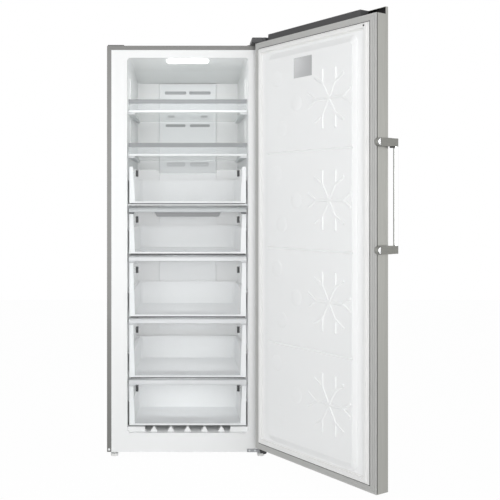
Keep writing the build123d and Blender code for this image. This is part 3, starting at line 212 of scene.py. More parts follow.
# %% Floor
FLOOR_WHITE = 0.985
FLOOR_REACH = 6.0
floor_mesh = bpy.data.meshes.new("studio_floor")
bm = bmesh.new()
bmesh.ops.create_grid(bm, x_segments=1, y_segments=1, size=FLOOR_REACH)
bm.to_mesh(floor_mesh)
bm.free()
floor = bpy.data.objects.new("studio_floor", floor_mesh)
bpy.context.scene.collection.objects.link(floor)
paper = bpy.data.materials.new("white paper sweep")
paper.use_nodes = True
tree = paper.node_tree
tree.nodes.clear()
matt = add(tree, "ShaderNodeBsdfDiffuse", {"Color": colour("F4F4F4")})
glow = add(tree, "ShaderNodeEmission", {"Color": (1, 1, 1, 1), "Strength": 1.0})
share = add(tree, "ShaderNodeMath", {0: seen_directly(tree), 1: FLOOR_WHITE}, operation="MULTIPLY")
mixed = add(tree, "ShaderNodeMixShader", {0: share.outputs[0], 1: matt.outputs[0], 2: glow.outputs[0]})
add(tree, "ShaderNodeOutputMaterial", {"Surface": mixed.outputs[0]})
floor_mesh.materials.append(paper)
print("floor reaches", FLOOR_REACH, "m to each side")

# %% [markdown]
# ## Finishes
# Each finish starts from the real one: painted steel has a faint orange peel, brushed steel has streaks along
# the brushing, vacuum-formed plastic is a little uneven over a hand's width, and moulded parts have a fine
# grain. Patterns are worked out in real millimetres: a noise of scale 1000 / s repeats about every s mm.

# %% Helpers for the finishes
BUMP_STRENGTH = 0.6


def start_finish(name, code, roughness, metallic=0.0, **sockets):
    """A new material with its Principled shader set; returns the material, its tree and the shader."""
    made = bpy.data.materials.new(name)
    made.use_nodes = True
    shader = made.node_tree.nodes["Principled BSDF"]
    shader.inputs["Base Color"].default_value = colour(code)
    shader.inputs["Roughness"].default_value = roughness
    shader.inputs["Metallic"].default_value = metallic
    for socket, value in sockets.items():
        shader.inputs[socket.replace("_", " ")].default_value = value
    print("finish:", made.name)
    return made, made.node_tree, shader


def grain(tree, shader, size_mm, depth_mm, stretch=(1, 1, 1), detail=3.0):
    """A bump of noise with lumps of a real size, stretched along an axis where a finish has a direction."""
    place = add(tree, "ShaderNodeTexCoord").outputs["Object"]
    place = add(tree, "ShaderNodeMapping", {"Vector": place, "Scale": stretch}).outputs[0]
    noise = add(tree, "ShaderNodeTexNoise", {"Vector": place, "Scale": 1000 / size_mm, "Detail": detail})
    relief = {"Height": noise.outputs["Fac"], "Distance": depth_mm / 1000, "Strength": BUMP_STRENGTH}
    tree.links.new(add(tree, "ShaderNodeBump", relief).outputs[0], shader.inputs["Normal"])
    return noise


def vary(tree, shader, noise, socket, low, high):
    """Lets a noise move a value of the shader between two limits."""
    spread = add(tree, "ShaderNodeMapRange", {"Value": noise.outputs["Fac"], "To Min": low, "To Max": high})
    tree.links.new(spread.outputs[0], shader.inputs[socket])


def beyond(tree, axis, limit, width_mm=0.5):
    """A mask that turns from 0 to 1 where the model's own X, Y or Z passes a limit, in metres."""
    place = add(tree, "ShaderNodeTexCoord").outputs["Object"]
    parted = add(tree, "ShaderNodeSeparateXYZ", {0: place}).outputs[axis]
    edge = {"Value": parted, "From Min": limit - width_mm / 1000, "From Max": limit + width_mm / 1000}
    return add(tree, "ShaderNodeMapRange", edge).outputs[0]


def part_by(tree, mask, low, high, kind="FLOAT"):
    """Gives one value or colour where a mask is 0 and another where it is 1."""
    # The Mix node has a pair of inputs and an output for each kind, and hides those of the other kinds.
    first, out = (6, 2) if kind == "RGBA" else (2, 0)
    ends = {"Factor": mask, first: low, first + 1: high}
    return add(tree, "ShaderNodeMix", ends, data_type=kind).outputs[out]


def tint(tree, shader, noise, low, high):
    """Lets a noise move the base colour between two close shades."""
    blend = part_by(tree, noise.outputs["Fac"], colour(low), colour(high), "RGBA")
    tree.links.new(blend, shader.inputs["Base Color"])


# %% Steel finishes
# Silver paint over steel: satin, with an orange peel of about 2 mm.
silver_paint, tree, shader = start_finish("silver coated steel", "727270", 0.42, 0.3, Coat_Weight=0.15)
peel = grain(tree, shader, 2.0, 0.03)
vary(tree, shader, peel, "Roughness", 0.38, 0.46)

# Stainless steel brushed along the height: streaks a third of a millimetre wide and a hand long, drawn at
# 1.2 mm so that they show.
brushed_steel, tree, shader = start_finish("brushed stainless steel", "A3A29B", 0.34, 1.0, Anisotropic=0.4)
streaks = grain(tree, shader, 1.2, 0.02, (1, 1, 0.008))
vary(tree, shader, streaks, "Roughness", 0.28, 0.42)
tint(tree, shader, streaks, "9A9A96", "B0B0AB")

# Hot-dip zinc: dull crystals about 9 mm across, some glossier than others.
SPANGLE_MM = 9.0
zinc_steel, tree, shader = start_finish("galvanised steel", "A9ACAE", 0.45, 0.9)
place = add(tree, "ShaderNodeTexCoord").outputs["Object"]
spangle = add(tree, "ShaderNodeTexVoronoi", {"Vector": place, "Scale": 1000 / SPANGLE_MM})
dulling = {"Value": spangle.outputs["Distance"], "To Min": 0.36, "To Max": 0.54}
tree.links.new(add(tree, "ShaderNodeMapRange", dulling).outputs[0], shader.inputs["Roughness"])

# Passivated zinc on the lower hinge: greyer and duller than new galvanised sheet.
passivated, tree, shader = start_finish("passivated zinc plate", "8E9092", 0.5, 0.8)
vary(tree, shader, grain(tree, shader, 2.5, 0.02), "Roughness", 0.44, 0.58)

# Black electro-coat on the upper hinge, the compressor and the condenser: thin and satin.
black_coat, tree, shader = start_finish("black electro-coated steel", "2A2A2B", 0.42)
vary(tree, shader, grain(tree, shader, 1.2, 0.02), "Roughness", 0.36, 0.48)

# Drawn aluminium fins, dull and slightly streaked.
fin_metal, tree, shader = start_finish("aluminium fin stock", "C6C9CB", 0.36, 1.0)
vary(tree, shader, grain(tree, shader, 4.0, 0.02, (1, 1, 0.1)), "Roughness", 0.3, 0.45)

# Copper tube with a little tarnish.
copper, tree, shader = start_finish("drawn copper tube", "B8734F", 0.3, 1.0)
tint(tree, shader, grain(tree, shader, 9.0, 0.01), "8E5538", "C98460")

# Chrome on the handle's bar, with the faint waviness of plated tube.
bar_chrome, tree, shader = start_finish("polished chrome plate", "ECEDED", 0.12, 1.0)
grain(tree, shader, 25.0, 0.02, (1, 1, 0.2), 1.0)

# Grey enamel of the handle's brackets: a sand-cast skin under paint shows as a coarse mottle.
bracket_enamel, tree, shader = start_finish("grey enamelled zinc casting", "838380", 0.36, 0.2)
skin = grain(tree, shader, 3.5, 0.12)
vary(tree, shader, skin, "Roughness", 0.3, 0.46)
tint(tree, shader, skin, "767672", "969690")

# Bright zinc on screws, turned and slightly worn.
screw_zinc, tree, shader = start_finish("bright zinc-plated screw", "B4B6B8", 0.32, 1.0)
vary(tree, shader, grain(tree, shader, 0.8, 0.02), "Roughness", 0.26, 0.42)

# Plain aluminium foil of the bare plate: dull, with fine lines from rolling.
plate_foil, tree, shader = start_finish("rolled aluminium foil", "B9BABB", 0.45, 0.35)
rolled = grain(tree, shader, 1.0, 0.01, (1, 1, 0.02))
vary(tree, shader, rolled, "Roughness", 0.4, 0.55)

# %% Plastic finishes
# Vacuum-formed ABS: white, satin, and a little uneven over 60 mm where the hot sheet was drawn.
formed_abs, tree, shader = start_finish("vacuum-formed ABS sheet", "F4F5F5", 0.34, IOR=1.53)
sag = grain(tree, shader, 60.0, 0.25, detail=1.0)
vary(tree, shader, sag, "Roughness", 0.3, 0.4)

# The door's liner is the same sheet from another roll, a trace paler and duller.
door_abs, tree, shader = start_finish("vacuum-formed ABS sheet, door", "F5F6F6", 0.36, IOR=1.53)
sag = grain(tree, shader, 60.0, 0.2, detail=1.0)
vary(tree, shader, sag, "Roughness", 0.32, 0.42)

# Moulded polystyrene of the duct, the shelves' trims and the tubs, with a fine spark-eroded grain.
moulded_white, tree, shader = start_finish("moulded white polystyrene", "F1F3F4", 0.4, IOR=1.55)
grain(tree, shader, 1.0, 0.03)

# Drawer fronts: clear polystyrene, faintly cool, with the grip moulded over in a clouded grade. The panel
# lies behind the grip, so a mask on the depth tells the one from the other. The limits are in metres.
PANEL_FRONT = FRONT_Y + 0.0375
PANEL_SHADE = "F4F6F7"
PANEL_ALPHA = 0.2
GRIP_ALPHA = 0.9
# Height in metres under which drawer 2's skirt is painted darker, as painted shade in its finger recess.
SHADED_SKIRT_TOP = 1.0645


def clear_front(name, grip, skirt, skirt_top=0.0):
    """Clear panel plastic with a grip of a given shade, and a skirt of another under a height in metres."""
    made, tree, shader = start_finish(name, "E6EAEC", 0.16, IOR=1.55)
    flow = grain(tree, shader, 45.0, 0.1, detail=1.0)
    vary(tree, shader, flow, "Roughness", 0.12, 0.22)
    behind = beyond(tree, 1, PANEL_FRONT)
    tree.links.new(part_by(tree, behind, GRIP_ALPHA, PANEL_ALPHA), shader.inputs["Alpha"])
    shade = part_by(tree, beyond(tree, 2, skirt_top), colour(skirt), colour(grip), "RGBA")
    tree.links.new(part_by(tree, behind, shade, colour(PANEL_SHADE), "RGBA"), shader.inputs["Base Color"])
    return made


drawer_clear = clear_front("clear polystyrene with a clouded grip", "E4E6E8", "E4E6E8")
# Drawer 2: its grip is painted darker as painted shade under the divider, and its skirt darker still as
# painted shade in the recess.
drawer_shaded_grip = clear_front("clear polystyrene, grip with painted shade", "BCC0C2", "6E7173", SHADED_SKIRT_TOP)

# Lamp cover: an opal diffuser that glows.
LAMP_GLOW = 2.5
opal, tree, shader = start_finish("opal diffuser", "FFFFFF", 0.4)
shader.inputs["Emission Color"].default_value = colour("FFFFFF")
shader.inputs["Emission Strength"].default_value = LAMP_GLOW
grain(tree, shader, 1.5, 0.05)

# Clear guard plastic, and float glass with its green cast. Thin clear sheets are drawn as partly open
# surfaces, which lets the light behind them through without a caustic.
clear_guard, tree, shader = start_finish("clear polystyrene guard", "C9CFD2", 0.14, IOR=1.55, Alpha=0.26)
grain(tree, shader, 30.0, 0.02, detail=1.0)
shelf_glass, tree, shader = start_finish("toughened float glass", "E3EBE8", 0.05, IOR=1.52, Alpha=0.22)
grain(tree, shader, 80.0, 0.02, detail=1.0)

# Rails: the guards' are moulded in grey, the drawers' in white, both satin with a fine grain.
rail_grey, tree, shader = start_finish("grey polystyrene rail", "8A8D8F", 0.35, IOR=1.55)
grain(tree, shader, 1.2, 0.03)
rail_white, tree, shader = start_finish("white polystyrene, moulded", "E8EAEB", 0.4, IOR=1.55)
vary(tree, shader, grain(tree, shader, 1.5, 0.03), "Roughness", 0.36, 0.46)

# %% Finishes of the dark fittings
# The door's caps: grained polypropylene, which hardly shines. The top cap's well, behind its ridge, is
# painted near black as painted shade in the recess. The mapping swings the pattern shut with the door, so
# the well is a plain limit along Y.
CAP_GREY = "4B4B4C"
WELL_PAINTED_SHADE = "060606"
WELL_FACE = FRONT_Y - 0.056
WELL_EDGE = 0.001
CAP_GLOSS = {"IOR": 1.49, "Specular_IOR_Level": 0.2}
cap_dark, tree, shader = start_finish("dark grained polypropylene", CAP_GREY, 0.5, **CAP_GLOSS)
vary(tree, shader, grain(tree, shader, 0.9, 0.05), "Roughness", 0.44, 0.58)
place = add(tree, "ShaderNodeTexCoord").outputs["Object"]
shift = HINGE - OPENED.to_3x3().inverted() @ HINGE
swung = {"Vector": place, "Location": shift, "Rotation": (0, 0, -DOOR_OPEN)}
depth = add(tree, "ShaderNodeSeparateXYZ", {0: add(tree, "ShaderNodeMapping", swung).outputs[0]}).outputs[1]
edge = {"Value": depth, "From Min": WELL_FACE - WELL_EDGE, "From Max": WELL_FACE}
well = add(tree, "ShaderNodeMapRange", edge).outputs[0]
# Painted shade: the well behind the ridge is coloured near black.
blend = part_by(tree, well, colour(WELL_PAINTED_SHADE), colour(CAP_GREY), "RGBA")
tree.links.new(blend, shader.inputs["Base Color"])

# Hinge cover, boxes and motors: moulded ABS, dark and satin. Fans, rollers and the drain pan: nylon with
# glass fibre, nearly black and duller.
fitting_dark, tree, shader = start_finish("dark grey ABS", "343436", 0.42, IOR=1.53)
grain(tree, shader, 0.9, 0.04)
fan_black, tree, shader = start_finish("black glass-filled nylon", "202122", 0.5, IOR=1.53)
grain(tree, shader, 0.8, 0.04)

# %% Finishes of the frame, seal, grilles, rubber, feet and foam
# The door's inner frame: extruded PVC, a plain grey whose gloss is a little uneven.
frame_grey, tree, shader = start_finish("grey PVC frame", "BABAB8", 0.42, IOR=1.53)
vary(tree, shader, grain(tree, shader, 1.4, 0.03), "Roughness", 0.36, 0.48)

# The seal: soft PVC, matt, with a trace of sheen.
seal_white, tree, shader = start_finish("white PVC seal", "F1F1F0", 0.5, IOR=1.53, Sheen_Weight=0.1)
grain(tree, shader, 2.0, 0.05, (1, 1, 0.3))

# The grilles: grained polystyrene, grey as painted shade in the outlets, and paler in the lowest pair as
# painted light.
VENT_SHADE_GREY = "BEC0C2"
VENT_PAINTED_LIGHT = "E0E2E3"
PAINTED_LIGHT_BELOW = 1.35
grille_painted_shade, tree, shader = start_finish("grey polystyrene grille, painted shade", VENT_SHADE_GREY, 0.5, IOR=1.55)
grain(tree, shader, 0.9, 0.03)
# Painted light: the grilles under this height are coloured paler.
vent_light_and_shade = part_by(tree, beyond(tree, 2, PAINTED_LIGHT_BELOW), colour(VENT_PAINTED_LIGHT), colour(VENT_SHADE_GREY), "RGBA")
tree.links.new(vent_light_and_shade, shader.inputs["Base Color"])

# Rubber of the compressor's mounts, and of the pad and strips that are painted shade: matt and a little
# rough.
rubber, tree, shader = start_finish("black rubber", "1C1C1C", 0.7, IOR=1.52)
grain(tree, shader, 1.0, 0.08)

# The feet: polypropylene left in its own milky white.
foot_pale, tree, shader = start_finish("pale polypropylene foot", "F0F0EE", 0.5, IOR=1.49)
grain(tree, shader, 1.0, 0.05)

# The insulation: poured foam, matt and mottled, which shows nowhere while the shells are closed.
foam, tree, shader = start_finish("polyurethane foam", "E9DCB0", 0.9)
tint(tree, shader, grain(tree, shader, 2.5, 0.4), "DCCB97", "F0E6C4")

# %% [markdown]
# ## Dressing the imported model
# A node keeps its shape and gets its finish through its material slot. The table gives each finish the nodes
# that wear it.

# %% Give each node its finish
WEARS = {
    silver_paint: ["cabinet_wrapper"],
    zinc_steel: ["back_panel", "base_pan", "machine_bay_cover", "roller_forks"],
    passivated: ["hinge_bottom"],
    brushed_steel: ["door_outer_panel", "door_side_trims"],
    black_coat: ["hinge_top", "compressor", "condenser_coil"],
    fin_metal: ["evaporator_coil"],
    copper: ["refrigerant_pipes"],
    bar_chrome: ["handle_bar"],
    bracket_enamel: ["handle_bracket_upper", "handle_bracket_lower"],
    formed_abs: ["inner_liner"],
    door_abs: ["door_liner"],
    moulded_white: ["duct_cover", "shelf_trim_1", "shelf_trim_2", "drain_tube", "door_bushes"],
    drawer_clear: [f"drawer_{n}_front" for n in (1, 3, 4, 5)],
    drawer_shaded_grip: ["drawer_2_front"],
    opal: ["lamp_cover"],
    clear_guard: ["shelf_guard_1", "shelf_guard_2"],
    shelf_glass: ["glass_shelf_1", "glass_shelf_2"],
    rail_grey: ["shelf_guard_rails"],
    rail_white: ["side_rails"],
    cap_dark: ["door_top_cap", "door_bottom_cap"],
    fitting_dark: ["hinge_cover", "hinge_blank", "control_box"],
    fan_black: ["evaporator_fan", "condenser_fan", "roller_left", "roller_right", "mains_inlet", "drain_pan"],
    frame_grey: ["door_inner_frame"],
    seal_white: ["door_seal"],
    rubber: ["compressor_mounts"],
    foot_pale: ["foot_left", "foot_right"],
    foam: ["foam_insulation", "door_foam_core"],
}
WEARS[moulded_white] += [f"drawer_{n}_tub" for n in range(1, 6)]
WEARS[fitting_dark] += ["evaporator_fan_motor", "condenser_fan_motor"]
for finish, names in WEARS.items():
    for name in names:
        for place in frame["nodes"][name].material_slots:
            place.material = finish
bare = set(frame["nodes"]) - {name for names in WEARS.values() for name in names}
print("nodes without a finish:", sorted(bare))

# %% [markdown]
# ## How the fittings are made
# The small fittings are bmesh work. A flat face is inset again and again, and each inset may also rise or
# sink. That turns a profile into a dome, a screw head or a mitred moulding without a list of vertices. Every
# fitting is drawn in the cabinet's millimetres. What is fitted to the door is drawn with the door shut and
# swung open at the end, so that its sizes can be read as on the drawing.

# %% Helpers for the fittings
MM = 0.001
FACING = {
    "front": Matrix.Rotation(math.radians(90), 4, "X"),
    "back": Matrix.Rotation(math.radians(-90), 4, "X"),
    "up": Matrix.Identity(4),
    "down": Matrix.Rotation(math.radians(180), 4, "X"),
    "left": Matrix.Rotation(math.radians(-90), 4, "Y"),
}


def disc(bm, centre, facing, radius, segments=24):
    """A flat round face at a place, looking one way; returns the face."""
    matrix = Matrix.Translation(at(*centre)) @ FACING[facing]
    made = bmesh.ops.create_circle(bm, cap_ends=True, segments=segments, radius=radius * MM, matrix=matrix)
    return made["verts"][0].link_faces[0]


def steps(bm, face, profile):
    """Insets a face once for each step of (inward, outward) millimetres; the face ends up in the middle."""
    settings = {"use_boundary": True, "use_even_offset": True}
    for inward, outward in profile:
        face.normal_update()
        bmesh.ops.inset_region(bm, faces=[face], thickness=inward * MM, depth=outward * MM, **settings)
    return face


def slab(bm, x, y, z, rounding=0.0, segments=2):
    """A block given by its limits along each axis, with every edge rounded; returns its vertices."""
    middle = at(sum(x) / 2, sum(y) / 2, sum(z) / 2)
    size = Vector((x[1] - x[0], y[1] - y[0], z[1] - z[0])) * MM
    matrix = Matrix.Translation(middle) @ Matrix.Diagonal(size).to_4x4()
    verts = bmesh.ops.create_cube(bm, size=1.0, matrix=matrix)["verts"]
    if rounding:
        edges = dict.fromkeys(edge for vert in verts for edge in vert.link_edges)
        settings = {"offset": rounding * MM, "segments": segments, "profile": 0.5, "affect": "EDGES"}
        verts = bmesh.ops.bevel(bm, geom=list(edges), material=-1, **settings)["verts"]
    return verts


def fit(name, bm, finish, body, placed=AS_DRAWN, crease=35):
    """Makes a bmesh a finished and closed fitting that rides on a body."""
    bmesh.ops.holes_fill(bm, edges=[edge for edge in bm.edges if edge.is_boundary], sides=0)
    bmesh.ops.recalc_face_normals(bm, faces=bm.faces)
    bmesh.ops.transform(bm, matrix=placed, verts=bm.verts)
    mesh = bpy.data.meshes.new(name)
    bm.to_mesh(mesh)
    bm.free()
    mesh.shade_smooth()
    mesh.set_sharp_from_angle(angle=math.radians(crease))
    mesh.materials.append(finish)
    piece = bpy.data.objects.new(name, mesh)
    bpy.context.scene.collection.objects.link(piece)
    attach(piece, body)
    print(name, "has", len(mesh.polygons), "faces")
    return piece


# %% [markdown]
# ## Door seal
# The real seal is an extrusion of soft PVC, cut into four lengths and welded at the corners: a foot that
# clips on the frame, thin bellows that give way when the door shuts, and a pocket on top for the magnet.
# Insetting a rectangle along that profile makes all four lengths with their mitres at once. It takes the
# place of the plain ring in the model.

# %% Seal with its bellows
SEAL_X = (-315.0, 321.5)
SEAL_Z = (85.0, 1759.0)
FRAME_FACE = -12.0
SEAL_BASE = FRAME_FACE + 0.3
SEAL_RISE = [(0.4, 2.2), (3.0, 0.5), (0.6, -1.2), (0.8, 0.4), (0.5, 6.5), (1.2, 2.0), (1.0, 0.5)]
SEAL_CROWN = [(3.0, -0.3), (5.0, 0.0), (3.0, 0.3)]


def ring(bm, x, z, y, profile):
    """A closed moulding round a rectangle, its profile read inward from the outer edge."""
    middle = at(sum(x) / 2, y, sum(z) / 2)
    size = Matrix.Diagonal(((x[1] - x[0]) / 2 * MM, (z[1] - z[0]) / 2 * MM, 1, 1))
    matrix = Matrix.Translation(middle) @ FACING["back"] @ size
    verts = bmesh.ops.create_grid(bm, x_segments=1, y_segments=1, size=1.0, matrix=matrix)["verts"]
    inner = steps(bm, verts[0].link_faces[0], profile)
    bmesh.ops.delete(bm, geom=[inner], context="FACES_ONLY")
    open_edges = [edge for edge in bm.edges if edge.is_boundary]
    bmesh.ops.bridge_loops(bm, edges=open_edges)


fall = [(inward, -outward) for inward, outward in reversed(SEAL_RISE)]
bm = bmesh.new()
ring(bm, SEAL_X, SEAL_Z, SEAL_BASE, SEAL_RISE + SEAL_CROWN + fall)
seal = fit("seal_bellows", bm, seal_white, "door", OPENED)
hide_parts("door_seal")

# %% Dark channel round the seal's foot: painted shadow of the seal on the frame
SHADOW_CHANNEL = 3.2
bm = bmesh.new()
outer_x = (SEAL_X[0] - SHADOW_CHANNEL, SEAL_X[1] + SHADOW_CHANNEL)
outer_z = (SEAL_Z[0] - SHADOW_CHANNEL, SEAL_Z[1] + SHADOW_CHANNEL)
ring(bm, outer_x, outer_z, FRAME_FACE - 0.2, [(0.3, 0.7), (2.4, 0.0), (0.3, -0.7)])
fit("seal_shadow_channel", bm, fitting_dark, "door", OPENED)

# %% Vent hole in the seal's corner
VENT_AT = (-296, FRAME_FACE + 11.0, 1747)
VENT_R = 4.0
bm = bmesh.new()
steps(bm, disc(bm, VENT_AT, "back", VENT_R), [(0.5, 0.5), (0.9, 0.0), (0.4, -0.8)])
fit("seal_vent", bm, rubber, "door", OPENED)

# %% [markdown]
# ## Shallow blisters in the door's liner
# Beside each crystal the liner has three round blisters, where the sheet was drawn over domed studs of the
# mould. A dome is a disc whose insets follow a quarter circle. They are almost flat, so only the light from
# the side shows them.

# %% Blisters
FIELD_FACE = 6.0
FIELD_MIDDLE = 920.5
PANEL_PITCH = 388.0
PANELS = (-1.5, -0.5, 0.5, 1.5)
BLISTER_R = 32.0
BLISTER_H = 1.8
# How far each blister lies from the hinge side's edge of the door, and above its crystal.
BLISTERS = [(166.0, 110.0), (285.0, 0.0), (196.0, -97.0)]
HINGE_EDGE = 349.0
# A dome is built in this many rings, up to this angle, which leaves a small flat face at the crown.
RINGS = 8
CROWN = math.radians(86)


def dome(radius, height):
    """The steps of a dome whose slope falls from its edge to its crown."""
    angles = [CROWN * index / RINGS for index in range(RINGS + 1)]
    return [
        (radius * (math.cos(low) - math.cos(high)), height * (math.sin(high) - math.sin(low)))
        for low, high in zip(angles, angles[1:])
    ]


bm = bmesh.new()
for row in PANELS:
    for inward, rise in BLISTERS:
        centre = (HINGE_EDGE - inward, FIELD_FACE, FIELD_MIDDLE + row * PANEL_PITCH + rise)
        steps(bm, disc(bm, centre, "back", BLISTER_R, 40), dome(BLISTER_R, BLISTER_H))
fit("liner_blisters", bm, door_abs, "door", OPENED, crease=60)

# %% [markdown]
# ## Bare plate on the door
# A foil plate is pressed on the liner near the top. It carries nothing. Its edge is embossed, which is an
# inset of the front face that sinks by 0.15 mm.

# %% Plate
PLATE_X = (-28.0, 78.0)
PLATE_Z = (1601.0, 1681.0)
bm = bmesh.new()
slab(bm, PLATE_X, (FIELD_FACE, FIELD_FACE + 0.5), PLATE_Z, 0.2, 1)
bm.normal_update()
front = max(bm.faces, key=lambda face: face.calc_area() * (face.normal.y > 0.9))
steps(bm, front, [(2.5, 0.0), (0.3, -0.15)])
fit("bare_plate", bm, plate_foil, "door", OPENED)

# %% [markdown]
# ## Screws
# Pan-head screws hold the lower hinge, the hinge cover, the cover of the machine bay and the back. The head
# rises in three steps from a disc of 24 sides. The cross recess is the top face with every vertex that isn't
# near an arm of the cross pulled in, and then sunk.

# %% One screw, the box of a node, and the screws of the lower hinge
CROSS_PULL = 0.36


def screw(bm, centre, facing, radius):
    """Adds a pan-head screw with a cross recess."""
    face = disc(bm, centre, facing, radius)
    steps(bm, face, [(0.02, 0.35 * radius), (0.16 * radius, 0.16 * radius), (0.22 * radius, 0.07 * radius)])
    steps(bm, face, [(0.1 * radius, 0.0)])
    middle = face.calc_center_median()
    reach = max((vert.co - middle).length for vert in face.verts)
    for index, vert in enumerate(face.verts):
        if index % 6 not in (0, 1):
            vert.co = middle + (vert.co - middle).normalized() * reach * CROSS_PULL
    steps(bm, face, [(0.02, -0.3 * radius)])


def limits(node):
    """The box of a node in drawing millimetres: its lowest and highest corner."""
    low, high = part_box(node)
    origin = at(0, 0, 0)
    return (Vector(low) - origin) * 1000, (Vector(high) - origin) * 1000


SCREW_R = 4.5
HINGE_SCREW_X = (268.0, 292.0)
HINGE_SCREW_Z = 32.0
HINGE_PLATE_Y = -3.3
bm = bmesh.new()
for x in HINGE_SCREW_X:
    screw(bm, (x, HINGE_PLATE_Y, HINGE_SCREW_Z), "front", SCREW_R)
fit("screws_lower_hinge", bm, screw_zinc, "cabinet")

# %% Screw of the hinge cover, and those of the back
COVER_SCREW_R = 4.0
cover_low, cover_high = limits("hinge_cover")
cover_x = (cover_low.x + cover_high.x) / 2
cover_y = 0.25 * cover_low.y + 0.75 * cover_high.y
bm = bmesh.new()
screw(bm, (cover_x, cover_y, cover_high.z), "up", COVER_SCREW_R)
fit("screw_hinge_cover", bm, screw_zinc, "cabinet")

bay_low, bay_high = limits("machine_bay_cover")
back_low, back_high = limits("back_panel")
SCREW_IN = 11.0
BACK_FLAT = 620.0
# How high the screws of the back sit, as shares of its height.
BACK_SCREWS = (0.1, 0.37, 0.64, 0.97)
bm = bmesh.new()
for x in (bay_low.x + SCREW_IN, (bay_low.x + bay_high.x) / 2, bay_high.x - SCREW_IN):
    for z in (bay_low.z + SCREW_IN, bay_high.z - SCREW_IN):
        screw(bm, (x, bay_high.y, z), "back", SCREW_R)
for x in (back_low.x + SCREW_IN, back_high.x - SCREW_IN):
    for share in BACK_SCREWS:
        z = back_low.z + share * (back_high.z - back_low.z)
        screw(bm, (x, BACK_FLAT, z), "back", SCREW_R)
fit("screws_back", bm, screw_zinc, "cabinet")
print("bay cover from", [round(v) for v in bay_low], "to", [round(v) for v in bay_high])

# %% [markdown]
# ## Lower hinge and front strip
# The door's weight rests on a moulded black block under the hinge plate, which shows as a dark wedge under
# the door's corner. A white button closes an unused hole in the front strip.

# %% Block, nut and button
BLOCK_X = (309.0, 337.0)
BLOCK_Y = (-60.0, -22.0)
BLOCK_Z = (36.0, 47.8)
NUT_AT = (329.0, -46.0, BLOCK_Z[0] + 0.2)
NUT_R = 8.0
bm = bmesh.new()
slab(bm, BLOCK_X, BLOCK_Y, BLOCK_Z, 2.5, 3)
nut = disc(bm, NUT_AT, "down", NUT_R, 6)
steps(bm, nut, [(0.02, 4.0), (0.8, 0.6), (1.6, 0.0), (0.5, -1.5)])
fit("lower_hinge_block", bm, fan_black, "cabinet")

BUTTON_AT = (-341.0, 0.0, 35.6)
BUTTON_R = 5.0
BUTTON_H = 1.2
bm = bmesh.new()
steps(bm, disc(bm, BUTTON_AT, "front", BUTTON_R), [(0.02, 0.5)] + dome(BUTTON_R - 0.3, BUTTON_H))
fit("hole_button", bm, moulded_white, "cabinet", crease=60)

# %% [markdown]
# ## Dark linings behind the drawers' clip slots
# Behind each slot in a drawer's front sits a dark lining, painted shade seen through the slot. It is drawn as
# a shallow dark box with a rib.

# %% Linings
# How far the top of the slots lies under the top of each drawer's front.
SLOT_UNDER = {1: 3.0, 2: 40.0, 3: 47.0, 4: 38.0, 5: 28.0}
SLOT_X = 222.0
SLOT_H = 26.0
SLOT_SHADE_HALF = 6.5
RIB_HALF = 1.2
PANEL_BACK = 42.0
SLOT_SHADE_Y = (PANEL_BACK + 0.3, PANEL_BACK + 3.5)
SLOT_SHADE_RIB_Y = (PANEL_BACK - 3.0, PANEL_BACK + 0.5)
for number, under in SLOT_UNDER.items():
    top = limits(f"drawer_{number}_front")[1].z - under
    bm = bmesh.new()
    for x in (-SLOT_X, SLOT_X):
        # Painted shade: a dark box with a rib behind each slot.
        slab(bm, (x - SLOT_SHADE_HALF, x + SLOT_SHADE_HALF), SLOT_SHADE_Y, (top - SLOT_H - 2, top + 2), 0.8)
        slab(bm, (x - RIB_HALF, x + RIB_HALF), SLOT_SHADE_RIB_Y, (top - SLOT_H + 3, top - 3), 0.5)
    fit(f"drawer_{number}_slot_shade", bm, fan_black, f"drawer_{number}")
    print("drawer", number, "top of its slots", round(top, 1))

# %% [markdown]
# ## Shadow strip on the divider
# A dark strip lies on the divider under the top drawer, as painted shadow: it shows as a thin dark line under
# its front.

# %% Shadow strip
DIVIDER_TOP = 1100.0
DIVIDER_SHADOW_H = 3.4
DIVIDER_SHADOW_Y = (44.5, 50.5)
SHADOW_STRIP_X = (-251.0, 251.0)
bm = bmesh.new()
# Painted shadow: a dark strip in the gap under the top drawer's front.
slab(bm, SHADOW_STRIP_X, DIVIDER_SHADOW_Y, (DIVIDER_TOP, DIVIDER_TOP + DIVIDER_SHADOW_H), 1.2, 3)
fit("divider_shadow_strip", bm, rubber, "cabinet")

# %% [markdown]
# ## Shadow strips under the drawers' fronts
# The other drawers stand close over one another, and the gap between two fronts reads as a dark line. A dark
# strip under the fronts of drawers 2, 3 and 4 paints that line, as painted shadow in the gap.

# %% Shadow strips
GAP_SHADOW_H = 4.5
GAP_SHADOW_Y = (39.5, 44.0)
for number in (2, 3, 4):
    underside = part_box(f"drawer_{number}_tub")[0][2] / MM
    bm = bmesh.new()
    # Painted shadow: a dark strip in the gap under this drawer's front.
    slab(bm, SHADOW_STRIP_X, GAP_SHADOW_Y, (underside - GAP_SHADOW_H, underside + 0.2), 1.0)
    fit(f"drawer_{number}_gap_shadow", bm, rubber, f"drawer_{number}")

# %% [markdown]
# ## Grilles behind the air outlets
# Each outlet of the duct has a grey grille behind it, as painted shade for the inside of the duct. Each
# outlet of the duct has a grey grille behind it, so that the cooler doesn't show. It is a plate with two
# level slats in front, a little larger than the outlet.

# %% Grilles
UPPER_SHELF = 1504.0
DUCT_FACE = 491.0
GRILLE_OVERLAP = 4
PLATE_Y = (DUCT_FACE + 5.0, DUCT_FACE + 6.5)
SLAT_Y = (DUCT_FACE + 2.7, DUCT_FACE + 5.2)
SLAT_HALF = 0.6
# The slats sit this far over and under the outlet's middle, as shares of its height.
SLAT_LEVELS = (-0.28, 0.28)
